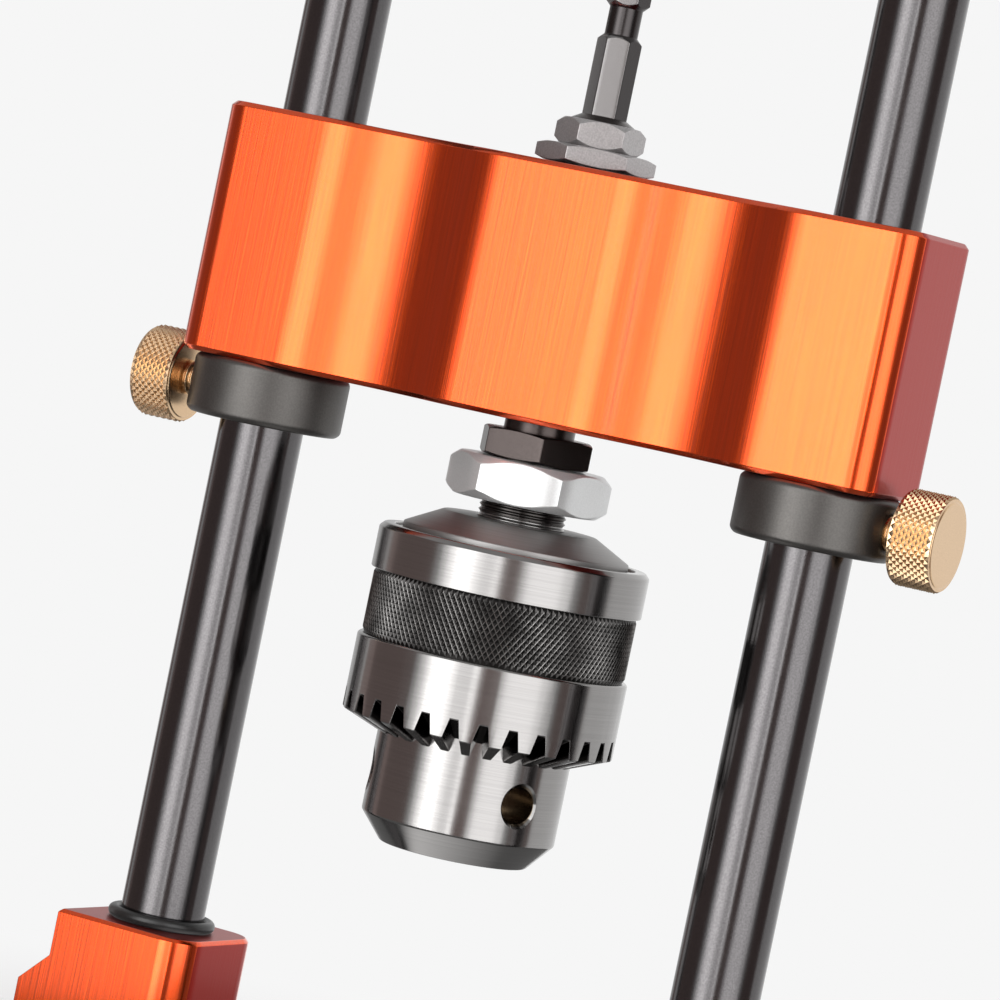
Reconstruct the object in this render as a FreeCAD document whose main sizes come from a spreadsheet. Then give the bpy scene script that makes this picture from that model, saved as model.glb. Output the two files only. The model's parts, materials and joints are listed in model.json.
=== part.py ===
import FreeCAD, Part
import math
import os
import re
from types import SimpleNamespace

import Sketcher

# Drill guide: a carriage with a keyed drill chuck slides on two rods that stand in a base.
# The origin is on the bench under the drilling axis. X runs from rod to rod, -Y is the front.
# A quoted formula below names cells of the sheet, and the property it sets stays tied to them.

SIZES = {
    # base
    "footOverhang": 17.5,
    "baseHeight": 40,
    "footDepth": 64,
    "footHeight": 14,
    "footCornerRadius": 4,
    "pillarDepth": 25,
    "pillarWidth": 25,
    "pillarCornerRadius": 5.5,
    "shoulderStep": 5,
    "shoulderDrop": 8,
    "baseChamfer": 0.6,
    "windowDiameter": 46,
    # guide rods
    "rodDiameter": 14,
    "rodSpacing": 100,
    "rodLength": 251,
    "rodChamfer": 1,
    "rodScrewDiameter": 8,
    "rodScrewGrip": 16,
    "rodScrewHeadDiameter": 13,
    "rodScrewHeadHeight": 8,
    "rodScrewSocket": 6,
    "headClearance": 0.5,
    "ringThickness": 2,
    # depth stops
    "collarDiameter": 26,
    "collarHeight": 10,
    "collarHeightAbovePillar": 84.75,
    "collarChamfer": 0.8,
    "screwDiameter": 6,
    "screwNeckDiameter": 5,
    "screwHeadGap": 2.1,
    "screwHeadDiameter": 15.5,
    "screwHeadLength": 7.5,
    "screwHeadChamfer": 0.6,
    # carriage
    "carriageOverhang": 12.5,
    "carriageDepth": 25,
    "carriageHeight": 41.5,
    "carriageChamfer": 0.8,
    "carriageCornerRadius": 4.5,
    "padWidth": 18,
    "crestRadius": 10,
    "valleyRadius": 20.7,
    "bushDiameter": 18,
    "bushLength": 12,
    "bushRecess": 0.5,
    "bushChamfer": 0.4,
    "rodReliefDiameter": 15.2,
    # spindle bearings
    "bearingDiameter": 19,
    "bearingBore": 10,
    "bearingWidth": 5,
    "bearingRecess": 0.4,
    "bearingRaceWidth": 1.4,
    "bearingGrooveDepth": 0.5,
    "ballCount": 12,
    "spindleReliefDiameter": 16,
    "spacerDiameter": 12.4,
    # spindle and drive shank
    "shankStubDiameter": 6,
    "shankStubLength": 9,
    "washerDiameter": 12.6,
    "washerThickness": 0.7,
    "locknutWidth": 17,
    "locknutHeight": 3,
    "locknutCornerDrop": 0.5,
    "locknutTurn": 26,
    "shankNutWidth": 12.7,
    "shankNutHeight": 4.4,
    "shankNutCornerDrop": 1,
    "shankNutTurn": 26,
    "shankFlareDiameter": 10.8,
    "shankFlareHeight": 1,
    "shankWidth": 6.35,
    "shankLength": 12.3,
    "shankGrooveDiameter": 5.4,
    "shankGrooveLength": 6.4,
    "shankEndLength": 9.4,
    "shankTurn": 9,
    # nuts between the carriage and the chuck
    "jamNutWidth": 17,
    "jamNutHeight": 4.6,
    "jamNutCornerDrop": 0.4,
    "jamNeckDiameter": 11.6,
    "jamNeckHeight": 1.7,
    "jamNutTurn": 1,
    "ejectorNutWidth": 24,
    "ejectorNutHeight": 7,
    "ejectorCornerDrop": 1.4,
    "ejectorCrownDiameter": 26.8,
    "ejectorNutTurn": 18,
    "arborThreadDiameter": 14.3,
    "arborNeckLength": 2.9,
    "arborTopStep": 0.2,
    "arborSocketDepth": 12,
    "taperLength": 19,
    "taperLargeDiameter": 13.9,
    "taperSmallDiameter": 12.4,
    # chuck body
    "noseDiameter": 24.2,
    "noseTaperHeight": 4.4,
    "chuckBodyDiameter": 31.7,
    "mouthDiameter": 10.4,
    "socketWeb": 2.5,
    "knockoutDiameter": 5,
    "nutGrooveBottom": 24.2,
    "nutGrooveHeight": 6.1,
    "nutGrooveDiameter": 24.4,
    "sleeveSeatDiameter": 37,
    "flangeDiameter": 44.4,
    "flangeBottom": 43.15,
    "flangeTop": 50.6,
    "flangeChamfer": 0.6,
    "capGrooveDiameter": 39.4,
    "capGrooveDepth": 0.7,
    "capDiameter": 37,
    "capRimHeight": 0.7,
    "capTopDiameter": 25,
    "capTopHeight": 54.5,
    "keyHoleDiameter": 6,
    "keyHoleHeight": 10.9,
    "keyHoleDepth": 7.5,
    "keyHoleRimDiameter": 7.4,
    "keyHoleTurn": 60,
    # chuck sleeve with the gear teeth
    "gearDiameter": 44.4,
    "gearBottom": 20,
    "gearTop": 32.5,
    "knurlDiameter": 43.2,
    "sleeveGap": 0.05,
    "toothCount": 29,
    "toothDepth": 3.2,
    "toothGapRoot": 1.45,
    "toothGapTip": 2.85,
    "toothTurn": 27.6,
    # split nut and jaws
    "nutDiameter": 37.4,
    "nutSplit": 0.3,
    "jawCount": 3,
    "jawDiameter": 6.4,
    "jawLength": 39,
    "jawAngle": 15,
    "jawOffset": 4.3,
    "jawTipHeight": 5,
    "jawOpenRadius": 5.05,
    "jawGripWidth": 0.6,
    "jawThreadPitch": 2,
    "jawThreadDepth": 0.8,
    "jawThreadStart": 14,
    "jawClearance": 0.08,
    # running clearance of a shaft in its hole, on the radius
    "slideClearance": 0.05,
}

V = FreeCAD.Vector
UP = V(0, 0, 1)
HEX = 6
# how far a cutting shape reaches past what it cuts, and how near two heights count as one
OVERCUT = 0.5
TOUCH = 0.01
# a nut's end face is round, and this share of its width across flats
NUT_FACE_SHARE = 0.98
# a bevel gap is cut from outside the gear's rim to well inside its bore, as shares of the radius
GAP_REACH = (1.1, 0.6)
# share of the jaw rack's pitch that its sloping flank takes
RACK_FLANK_SHARE = 0.7

os.makedirs("parts", exist_ok=True)
doc = FreeCAD.newDocument("drill_guide")
sheet = doc.addObject("Spreadsheet::Sheet", "Sizes")
for row, (alias, size) in enumerate(SIZES.items(), start=1):
    sheet.set(f"A{row}", alias)
    sheet.set(f"B{row}", str(size))
    sheet.setAlias(f"B{row}", alias)
doc.recompute()
v = SimpleNamespace(**{alias: float(sheet.get(alias)) for alias in SIZES})

pieces = []


def bind(item, target, formula):
    """Tie one property to the sheet. A camelCase word in the formula is a cell's alias."""
    item.setExpression(target, re.sub(r"\b[a-z]+[A-Z]\w*\b", r"Sizes.\g<0>", str(formula)))


def place(item, x=0, y=0, z=0, turn=0, axis=UP):
    item.Placement = FreeCAD.Placement(V(x, y, z), FreeCAD.Rotation(axis, turn))
    return item


def piece(label, item):
    """Name a finished sub-part. Its label is also its file name."""
    item.Label = label
    pieces.append(item)
    return item


def plane_of(body, role):
    return next(f for f in body.Origin.OriginFeatures if f.Role == role)


def outline(body, name, role, points):
    """Sketch a closed outline whose corners are each tied to the sheet in both directions."""
    sketch = body.newObject("Sketcher::SketchObject", name)
    sketch.AttachmentSupport = (plane_of(body, role), [""])
    sketch.MapMode = "FlatFace"
    corners = [V(10 + math.cos(n), 10 + math.sin(n), 0) for n in range(len(points))]
    for n, corner in enumerate(corners):
        sketch.addGeometry(Part.LineSegment(corner, corners[(n + 1) % len(corners)]), False)
    for n in range(len(points)):
        after = (n + 1) % len(points)
        sketch.addConstraint(Sketcher.Constraint("Coincident", n, 2, after, 1))
    for n, (across, along) in enumerate(points):
        for kind, axis_line, formula in (("DistanceX", -2, across), ("DistanceY", -1, along)):
            if formula == "0":
                sketch.addConstraint(Sketcher.Constraint("PointOnObject", n, 1, axis_line))
                continue
            index = sketch.addConstraint(Sketcher.Constraint(kind, -1, 1, n, 1, 10.0))
            bind(sketch, f"Constraints[{index}]", formula)
    return sketch


def turned(name, points):
    """Turn an outline of (radius, height) formulas about the upright axis."""
    body = doc.addObject("PartDesign::Body", name)
    sketch = outline(body, f"{name}_outline", "XZ_Plane", points)
    solid = body.newObject("PartDesign::Revolution", f"{name}_turned")
    solid.Profile = sketch
    solid.ReferenceAxis = (sketch, ["V_Axis"])
    solid.Angle = 360
    return body


def tube(name, outer, bore, height, chamfer=None):
    """Turn a plain ring, with its outer rims broken by a chamfer where one is given."""
    if chamfer is None:
        return turned(name, [(bore, "0"), (outer, "0"), (outer, height), (bore, height)])
    rim = f"{outer} - {chamfer}"
    top = f"{height} - {chamfer}"
    points = [(bore, "0"), (rim, "0"), (outer, chamfer), (outer, top), (rim, height)]
    return turned(name, points + [(bore, height)])


def cylinder(name, diameter, height):
    item = doc.addObject("Part::Cylinder", name)
    bind(item, "Radius", f"({diameter}) / 2")
    bind(item, "Height", height)
    return item


def hexagon(name, width, height):
    """Make a hexagonal bar, with one flat facing the front."""
    bar = doc.addObject("Part::Prism", name)
    bar.Polygon = HEX
    bind(bar, "Circumradius", f"({width}) / sqrt(3)")
    bind(bar, "Height", height)
    return bar


def cut(name, base, tools):
    item = doc.addObject("Part::Cut", name)
    item.Base = base
    item.Tool = tools[0] if len(tools) == 1 else fuse(f"{name}_tools", tools)
    return item


def fuse(name, shapes):
    item = doc.addObject("Part::MultiFuse", name)
    item.Shapes = shapes
    return item


def common(name, first, second):
    item = doc.addObject("Part::MultiCommon", name)
    item.Shapes = [first, second]
    return item


def made(name, shape):
    """Hold a shape that was built from the sheet's sizes by the code here."""
    item = doc.addObject("Part::Feature", name)
    item.Shape = shape
    return item


def hex_nut(name, width, height, corner_drop, bore=None, crown=None):
    """Make a nut whose corners are turned down by a cone at both ends."""
    corner = f"{width} / sqrt(3)" if crown is None else f"{crown} / 2"
    inside = "0" if bore is None else f"{bore} / 2"
    face = f"{width} / 2 * {NUT_FACE_SHARE}"
    blank = turned(f"{name}_blank", [
        (inside, "0"), (face, "0"), (corner, corner_drop),
        (corner, f"{height} - {corner_drop}"), (face, height), (inside, height)])
    return common(name, blank, hexagon(f"{name}_flats", width, height))


# Heights of what the rods, the carriage and the chuck carry
pillar_top = v.baseHeight
rod_seat = v.footHeight
collar_bottom = pillar_top + v.collarHeightAbovePillar
carriage_bottom = collar_bottom + v.collarHeight
carriage_top = carriage_bottom + v.carriageHeight
jam_nut_bottom = carriage_bottom - v.jamNeckHeight - v.jamNutHeight
arbor_top = jam_nut_bottom
ejector_nut_bottom = arbor_top - v.arborTopStep - v.ejectorNutHeight
chuck_bottom = ejector_nut_bottom - v.arborNeckLength - v.capTopHeight
washer_bottom = carriage_top - v.bearingRecess
locknut_bottom = washer_bottom + v.washerThickness
shank_bottom = locknut_bottom + v.locknutHeight
SIDES = {"left": -1, "right": 1}


# Base: a flat foot with two pillars that are stepped out at their ends
def make_base():
    body = doc.addObject("PartDesign::Body", "base_blank")
    half = "rodSpacing / 2 + footOverhang"
    top_end = f"{half} - shoulderStep"
    inner = f"{top_end} - pillarWidth"
    step_top = "baseHeight - shoulderDrop"
    right = [(half, "0"), (half, f"{step_top} - shoulderStep"), (top_end, step_top),
             (top_end, "baseHeight"), (inner, "baseHeight"), (inner, "footHeight")]
    left = [(f"-({across})", along) for across, along in reversed(right)]
    front = outline(body, "pillar_front", "XZ_Plane", right + left)
    pillars = body.newObject("PartDesign::Pad", "pillars")
    pillars.Profile = front
    pillars.Midplane = True
    bind(pillars, "Length", "pillarDepth")
    doc.recompute()

    inner_x = v.rodSpacing / 2 + v.footOverhang - v.shoulderStep - v.pillarWidth
    corners = [f"Edge{n}" for n, edge in enumerate(pillars.Shape.Edges, start=1)
               if abs(abs(edge.CenterOfMass.x) - inner_x) < TOUCH
               and abs(abs(edge.CenterOfMass.y) - v.pillarDepth / 2) < TOUCH]
    rounded = body.newObject("PartDesign::Fillet", "pillar_corners")
    rounded.Base = (pillars, corners)
    bind(rounded, "Radius", "pillarCornerRadius")
    doc.recompute()

    rims = [f"Edge{n}" for n, edge in enumerate(rounded.Shape.Edges, start=1)
            if edge.BoundBox.ZMin > v.baseHeight - TOUCH]
    softened = body.newObject("PartDesign::Chamfer", "pillar_rims")
    softened.Base = (rounded, rims)
    bind(softened, "Size", "baseChamfer")

    foot = doc.addObject("PartDesign::Body", "foot_blank")
    depth = "footDepth / 2"
    ends = [(half, f"-{depth}"), (half, depth), (f"-({half})", depth), (f"-({half})", f"-{depth}")]
    plate = foot.newObject("PartDesign::Pad", "foot_plate")
    plate.Profile = outline(foot, "foot_plan", "XY_Plane", ends)
    bind(plate, "Length", "footHeight")
    doc.recompute()
    upright = [f"Edge{n}" for n, edge in enumerate(plate.Shape.Edges, start=1)
               if edge.BoundBox.ZLength > v.footHeight / 2]
    cornered = foot.newObject("PartDesign::Fillet", "foot_corners")
    cornered.Base = (plate, upright)
    bind(cornered, "Radius", "footCornerRadius")
    doc.recompute()
    top_rim = [f"Edge{n}" for n, edge in enumerate(cornered.Shape.Edges, start=1)
               if edge.BoundBox.ZMin > v.footHeight - TOUCH]
    broken = foot.newObject("PartDesign::Chamfer", "foot_rim")
    broken.Base = (cornered, top_rim)
    bind(broken, "Size", "baseChamfer")

    hole = "windowDiameter / 2"
    tools = [turned("work_window", [
        ("0", "0"), (f"{hole} + baseChamfer", "0"), (hole, "baseChamfer"),
        (hole, "footHeight - baseChamfer"), (f"{hole} + baseChamfer", "footHeight"),
        ("0", "footHeight")])]
    head = "rodScrewHeadDiameter / 2 + headClearance"
    shank = "rodScrewDiameter / 2 + slideClearance"
    for side, sign in SIDES.items():
        seat = turned(f"{side}_rod_seat", [
            ("0", "0"), (head, "0"), (head, "rodScrewHeadHeight + headClearance"),
            (shank, "rodScrewHeadHeight + headClearance"), (shank, "footHeight"),
            ("rodDiameter / 2", "footHeight"), ("rodDiameter / 2", "baseHeight"),
            ("0", "baseHeight")])
        tools.append(place(seat, x=sign * v.rodSpacing / 2))
    piece("base_block", cut("base_drilled", fuse("base_joined", [body, foot]), tools))


def make_rods():
    edge = "rodDiameter / 2 - rodChamfer"
    tap = "rodScrewDiameter / 2"
    depth = "rodScrewGrip + rodScrewDiameter / 2"
    for side, sign in SIDES.items():
        x = sign * v.rodSpacing / 2
        rod = turned(f"{side}_rod_turned", [
            (tap, "0"), (edge, "0"), ("rodDiameter / 2", "rodChamfer"),
            ("rodDiameter / 2", "rodLength - rodChamfer"), (edge, "rodLength"),
            ("0", "rodLength"), ("0", depth), (tap, depth)])
        piece(f"{side}_rod", place(rod, x=x, z=rod_seat))

        head = "rodScrewHeadDiameter / 2"
        total = "footHeight - headClearance + rodScrewGrip"
        screw = turned(f"{side}_screw_turned", [
            ("0", "0"), (head, "0"), (head, "rodScrewHeadHeight"),
            (tap, "rodScrewHeadHeight"), (tap, total), ("0", total)])
        socket = hexagon(f"{side}_screw_socket", "rodScrewSocket", "rodScrewHeadHeight / 2")
        drilled = cut(f"{side}_screw_cut", screw, [socket])
        piece(f"{side}_rod_screw", place(drilled, x=x, z=v.headClearance))

        ring = doc.addObject("Part::Torus", f"{side}_ring_torus")
        bind(ring, "Radius1", "(rodDiameter + ringThickness) / 2")
        bind(ring, "Radius2", "ringThickness / 2")
        piece(f"{side}_rod_ring", place(ring, x=x, z=pillar_top + v.ringThickness / 2))


# Depth stops: a collar on each rod, clamped by a knurled thumbscrew that points outwards
def make_depth_stops():
    outer = "collarDiameter / 2"
    bore = "rodDiameter / 2 + slideClearance"
    tip = "rodDiameter / 2 + slideClearance"
    gap_start = "collarDiameter / 2"
    head_start = "collarDiameter / 2 + screwHeadGap"
    head_end = f"{head_start} + screwHeadLength"
    shank = "screwDiameter / 2"
    neck = "screwNeckDiameter / 2"
    head = "screwHeadDiameter / 2"
    rim = "screwHeadDiameter / 2 - screwHeadChamfer"
    for side, sign in SIDES.items():
        x = sign * v.rodSpacing / 2
        collar = tube(f"{side}_collar_turned", outer, bore, "collarHeight", "collarChamfer")
        tap = cylinder(f"{side}_collar_tap", "screwDiameter + 2 * slideClearance", outer)
        place(tap, z=v.collarHeight / 2, turn=sign * 90, axis=V(0, 1, 0))
        tapped = cut(f"{side}_collar_tapped", collar, [tap])
        piece(f"{side}_collar", place(tapped, x=x, z=collar_bottom))

        screw = turned(f"{side}_thumbscrew_turned", [
            ("0", tip), (neck, tip), (shank, f"{tip} + screwDiameter / 2 - screwNeckDiameter / 2"),
            (shank, f"{gap_start} + screwHeadGap / 2"), (neck, f"{gap_start} + screwHeadGap / 2"),
            (neck, head_start), (rim, head_start), (head, f"{head_start} + screwHeadChamfer"),
            (head, f"{head_end} - screwHeadChamfer"), (rim, head_end), ("0", head_end)])
        height = collar_bottom + v.collarHeight / 2
        place(screw, x=x, z=height, turn=sign * 90, axis=V(0, 1, 0))
        piece(f"{side}_thumbscrew", screw)


# Carriage: front and back are flat pads joined by a smooth crest, valley and crest
def scalloped_plan():
    """One closed wire: straight pads, tangent arcs between them, and rounded ends."""
    half_depth = v.carriageDepth / 2
    half_length = v.rodSpacing / 2 + v.carriageOverhang
    pad = v.padWidth / 2
    pitch = v.rodSpacing / 2
    turn = math.asin((pitch / 2 - pad) / (v.crestRadius + v.valleyRadius))
    crest_end = v.crestRadius * math.sin(turn)
    crest_drop = v.crestRadius * (1 - math.cos(turn))
    valley_drop = crest_drop + v.valleyRadius * (1 - math.cos(turn))
    half_turn = (math.sin(turn / 2), 1 - math.cos(turn / 2))

    def side(sign):
        """Run along one long side, from its left corner to its right one."""
        def at(x, drop):
            return V(x, sign * (half_depth - drop), 0)

        edges = []
        here = at(-half_length + v.carriageCornerRadius, 0)
        for crest_start in (-pitch + pad, pad):
            start = at(crest_start, 0)
            edges.append(Part.makeLine(here, start))
            valley_x = crest_start + crest_end
            far_x = crest_start + pitch - 2 * pad
            middle = at(crest_start + v.crestRadius * half_turn[0], v.crestRadius * half_turn[1])
            edges.append(Part.Arc(start, middle, at(valley_x, crest_drop)).toShape())
            low = at((crest_start + far_x) / 2, valley_drop)
            valley_end = far_x - crest_end
            edges.append(Part.Arc(at(valley_x, crest_drop), low,
                                  at(valley_end, crest_drop)).toShape())
            middle = at(far_x - v.crestRadius * half_turn[0], v.crestRadius * half_turn[1])
            edges.append(Part.Arc(at(valley_end, crest_drop), middle, at(far_x, 0)).toShape())
            here = at(far_x, 0)
        edges.append(Part.makeLine(here, at(half_length - v.carriageCornerRadius, 0)))
        return edges

    def end(sign):
        """Run round one end: corner, flat, corner."""
        radius = v.carriageCornerRadius
        bend = radius * (1 - math.sqrt(0.5))
        x_in = sign * (half_length - radius)
        x_out = sign * half_length
        x_mid = sign * (half_length - bend)
        edges = [Part.makeLine(V(x_out, radius - half_depth, 0), V(x_out, half_depth - radius, 0))]
        for y_sign in (-1, 1):
            edges.append(Part.Arc(V(x_in, y_sign * half_depth, 0),
                                  V(x_mid, y_sign * (half_depth - bend), 0),
                                  V(x_out, y_sign * (half_depth - radius), 0)).toShape())
        return edges

    edges = side(-1) + end(1) + side(1) + end(-1)
    return Part.Wire(Part.__sortEdges__(edges))


def make_carriage():
    plan = made("carriage_plan", Part.Face(scalloped_plan()))
    blank = doc.addObject("Part::Extrusion", "carriage_blank")
    blank.Base = plan
    blank.Dir = UP
    blank.DirMode = "Custom"
    blank.Solid = True
    bind(blank, "LengthFwd", "carriageHeight")
    doc.recompute()
    rims = [n for n, edge in enumerate(blank.Shape.Edges, start=1)
            if edge.BoundBox.ZLength < TOUCH]
    broken = doc.addObject("Part::Chamfer", "carriage_chamfered")
    broken.Base = blank
    broken.Edges = [(n, v.carriageChamfer, v.carriageChamfer) for n in rims]

    bush_seat = "bushDiameter / 2"
    relief = "rodReliefDiameter / 2"
    bush_top = "carriageHeight - bushLength - bushRecess"
    tools = []
    for side, sign in SIDES.items():
        bore = turned(f"{side}_rod_bore", [
            ("0", "0"), (bush_seat, "0"), (bush_seat, "bushLength + bushRecess"),
            (relief, "bushLength + bushRecess"), (relief, bush_top), (bush_seat, bush_top),
            (bush_seat, "carriageHeight"), ("0", "carriageHeight")])
        tools.append(place(bore, x=sign * v.rodSpacing / 2))
    race_seat = "bearingDiameter / 2"
    middle = "spindleReliefDiameter / 2"
    race_depth = "bearingWidth + bearingRecess"
    race_top = f"carriageHeight - ({race_depth})"
    tools.append(turned("spindle_bore", [
        ("0", "0"), (race_seat, "0"), (race_seat, race_depth), (middle, race_depth),
        (middle, race_top), (race_seat, race_top), (race_seat, "carriageHeight"),
        ("0", "carriageHeight")]))
    bored = cut("carriage_bored", broken, tools)
    piece("carriage", place(bored, z=carriage_bottom))

    levels = {"lower": carriage_bottom + v.bushRecess,
              "upper": carriage_top - v.bushRecess - v.bushLength}
    for level, height in levels.items():
        for side, sign in SIDES.items():
            bush = tube(f"{level}_{side}_bush_turned", bush_seat, "rodDiameter / 2 + slideClearance",
                        "bushLength", "bushChamfer")
            piece(f"{level}_{side}_bush", place(bush, x=sign * v.rodSpacing / 2, z=height))


# Spindle bearings: two grooved races with a ring of balls between them
def make_bearings():
    outer = "bearingDiameter / 2"
    bore = "bearingBore / 2"
    outer_inside = "bearingDiameter / 2 - bearingRaceWidth"
    inner_outside = "bearingBore / 2 + bearingRaceWidth"
    gap = v.bearingDiameter / 2 - v.bearingBore / 2 - 2 * v.bearingRaceWidth
    ball_radius = gap / 2 + v.bearingGrooveDepth - v.slideClearance / 2
    pitch_radius = (v.bearingDiameter + v.bearingBore) / 4
    levels = {"lower": carriage_bottom + v.bearingRecess,
              "upper": carriage_top - v.bearingRecess - v.bearingWidth}
    for level, height in levels.items():
        groove = doc.addObject("Part::Torus", f"{level}_groove")
        bind(groove, "Radius1", "(bearingDiameter + bearingBore) / 4")
        bind(groove, "Radius2",
             "(bearingDiameter - bearingBore) / 4 - bearingRaceWidth + bearingGrooveDepth")
        place(groove, z=v.bearingWidth / 2)
        for race, out, inside in (("outer", outer, outer_inside), ("inner", inner_outside, bore)):
            ring = tube(f"{level}_{race}_ring", out, inside, "bearingWidth")
            race_cut = cut(f"{level}_{race}_cut", ring, [groove])
            piece(f"{level}_{race}_race", place(race_cut, z=height))
        balls = []
        for n in range(int(v.ballCount)):
            angle = 2 * math.pi * n / v.ballCount
            centre = V(pitch_radius * math.cos(angle), pitch_radius * math.sin(angle),
                       v.bearingWidth / 2)
            balls.append(Part.makeSphere(ball_radius, centre))
        item = made(f"{level}_ball_set", Part.makeCompound(balls))
        piece(f"{level}_balls", place(item, z=height))

    spacer = tube("spacer_turned", "spacerDiameter / 2", bore,
                  "carriageHeight - 2 * bearingWidth - 2 * bearingRecess")
    piece("spindle_spacer", place(spacer, z=levels["lower"] + v.bearingWidth))


# Spindle, the nuts on it and the hexagonal shank that a drill drives
def make_spindle():
    journal = "bearingBore / 2"
    stub = "shankStubDiameter / 2"
    bottom = arbor_top - v.arborSocketDepth
    length = ("arborSocketDepth + jamNutHeight + jamNeckHeight + carriageHeight"
              " - bearingRecess + washerThickness + locknutHeight")
    stub_floor = f"{length} - shankStubLength - slideClearance"
    shaft = turned("spindle_turned", [
        ("0", "0"), (journal, "0"), (journal, length), (stub, length),
        (stub, stub_floor), ("0", stub_floor)])
    piece("spindle", place(shaft, z=bottom))

    jam = hex_nut("jam_nut_hex", "jamNutWidth", "jamNutHeight", "jamNutCornerDrop", "bearingBore")
    neck = tube("jam_nut_neck", "jamNeckDiameter / 2", journal, "jamNeckHeight + bearingRecess")
    place(neck, z=v.jamNutHeight)
    whole_jam = fuse("jam_nut_joined", [jam, neck])
    piece("jam_nut", place(whole_jam, z=jam_nut_bottom, turn=v.jamNutTurn))

    ejector = hex_nut("ejector_hex", "ejectorNutWidth", "ejectorNutHeight", "ejectorCornerDrop",
                      "arborThreadDiameter", "ejectorCrownDiameter")
    piece("ejector_nut", place(ejector, z=ejector_nut_bottom, turn=v.ejectorNutTurn))

    washer = tube("washer_turned", "washerDiameter / 2", journal, "washerThickness")
    piece("top_washer", place(washer, z=washer_bottom))
    locknut = hex_nut("locknut_hex", "locknutWidth", "locknutHeight", "locknutCornerDrop",
                      "bearingBore")
    piece("top_locknut", place(locknut, z=locknut_bottom, turn=v.locknutTurn))
    make_drive_shank()
    make_arbor()


def make_drive_shank():
    """A hexagonal bar with a nut-like collar, a turned groove and a stub in the spindle."""
    nut = hex_nut("shank_nut", "shankNutWidth", "shankNutHeight", "shankNutCornerDrop")
    seat = "shankNutHeight"
    corner = "shankWidth / sqrt(3)"
    groove = "shankGrooveDiameter / 2"
    ease = "(shankWidth / sqrt(3) - shankGrooveDiameter / 2)"
    groove_start = f"{seat} + shankFlareHeight + shankLength"
    groove_end = f"{groove_start} + shankGrooveLength"
    end = f"{groove_end} + shankEndLength"
    flare = turned("shank_flare", [
        ("0", seat), ("shankFlareDiameter / 2", seat),
        (corner, f"{seat} + shankFlareHeight"), ("0", f"{seat} + shankFlareHeight")])
    bar_blank = turned("shank_envelope", [
        ("0", seat), (corner, seat), (corner, groove_start),
        (groove, f"{groove_start} + {ease}"), (groove, f"{groove_end} - {ease}"),
        (corner, groove_end), (corner, f"{end} - {ease}"), (groove, end), ("0", end)])
    bar = common("shank_bar", bar_blank, hexagon("shank_flats", "shankWidth", end))
    place(bar, turn=v.shankTurn)
    stub = cylinder("shank_stub", "shankStubDiameter", "shankStubLength")
    place(stub, z=-v.shankStubLength)
    joined = fuse("drive_shank_joined", [nut, flare, bar, stub])
    piece("drive_shank", place(joined, z=shank_bottom, turn=v.shankNutTurn))


def make_arbor():
    """The arbor's taper holds the chuck, and its thread carries the ejector nut."""
    large = "taperLargeDiameter / 2"
    thread = "arborThreadDiameter / 2"
    shoulder = "taperLength"
    top = "taperLength + arborNeckLength + ejectorNutHeight + arborTopStep"
    socket_floor = f"{top} - arborSocketDepth"
    points = [("0", "0"), ("taperSmallDiameter / 2", "0"), (large, shoulder), (thread, shoulder),
              (thread, top), ("bearingBore / 2", top), ("bearingBore / 2", socket_floor),
              ("0", socket_floor)]
    piece("arbor", place(turned("arbor_turned", points),
                         z=chuck_bottom + v.capTopHeight - v.taperLength))


# Chuck: three jaws slide in slanted holes of the body, drawn by the split nut in the sleeve
def jaw_axis(n):
    """The point where jaw n's axis meets the nose plane, and its upward direction."""
    around = math.radians(v.keyHoleTurn - 90 + (n + 0.5) * 360 / v.jawCount)
    slant = math.radians(v.jawAngle)
    out = V(math.cos(around), math.sin(around), 0)
    return out * v.jawOffset, out * math.sin(slant) + UP * math.cos(slant), out


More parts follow.
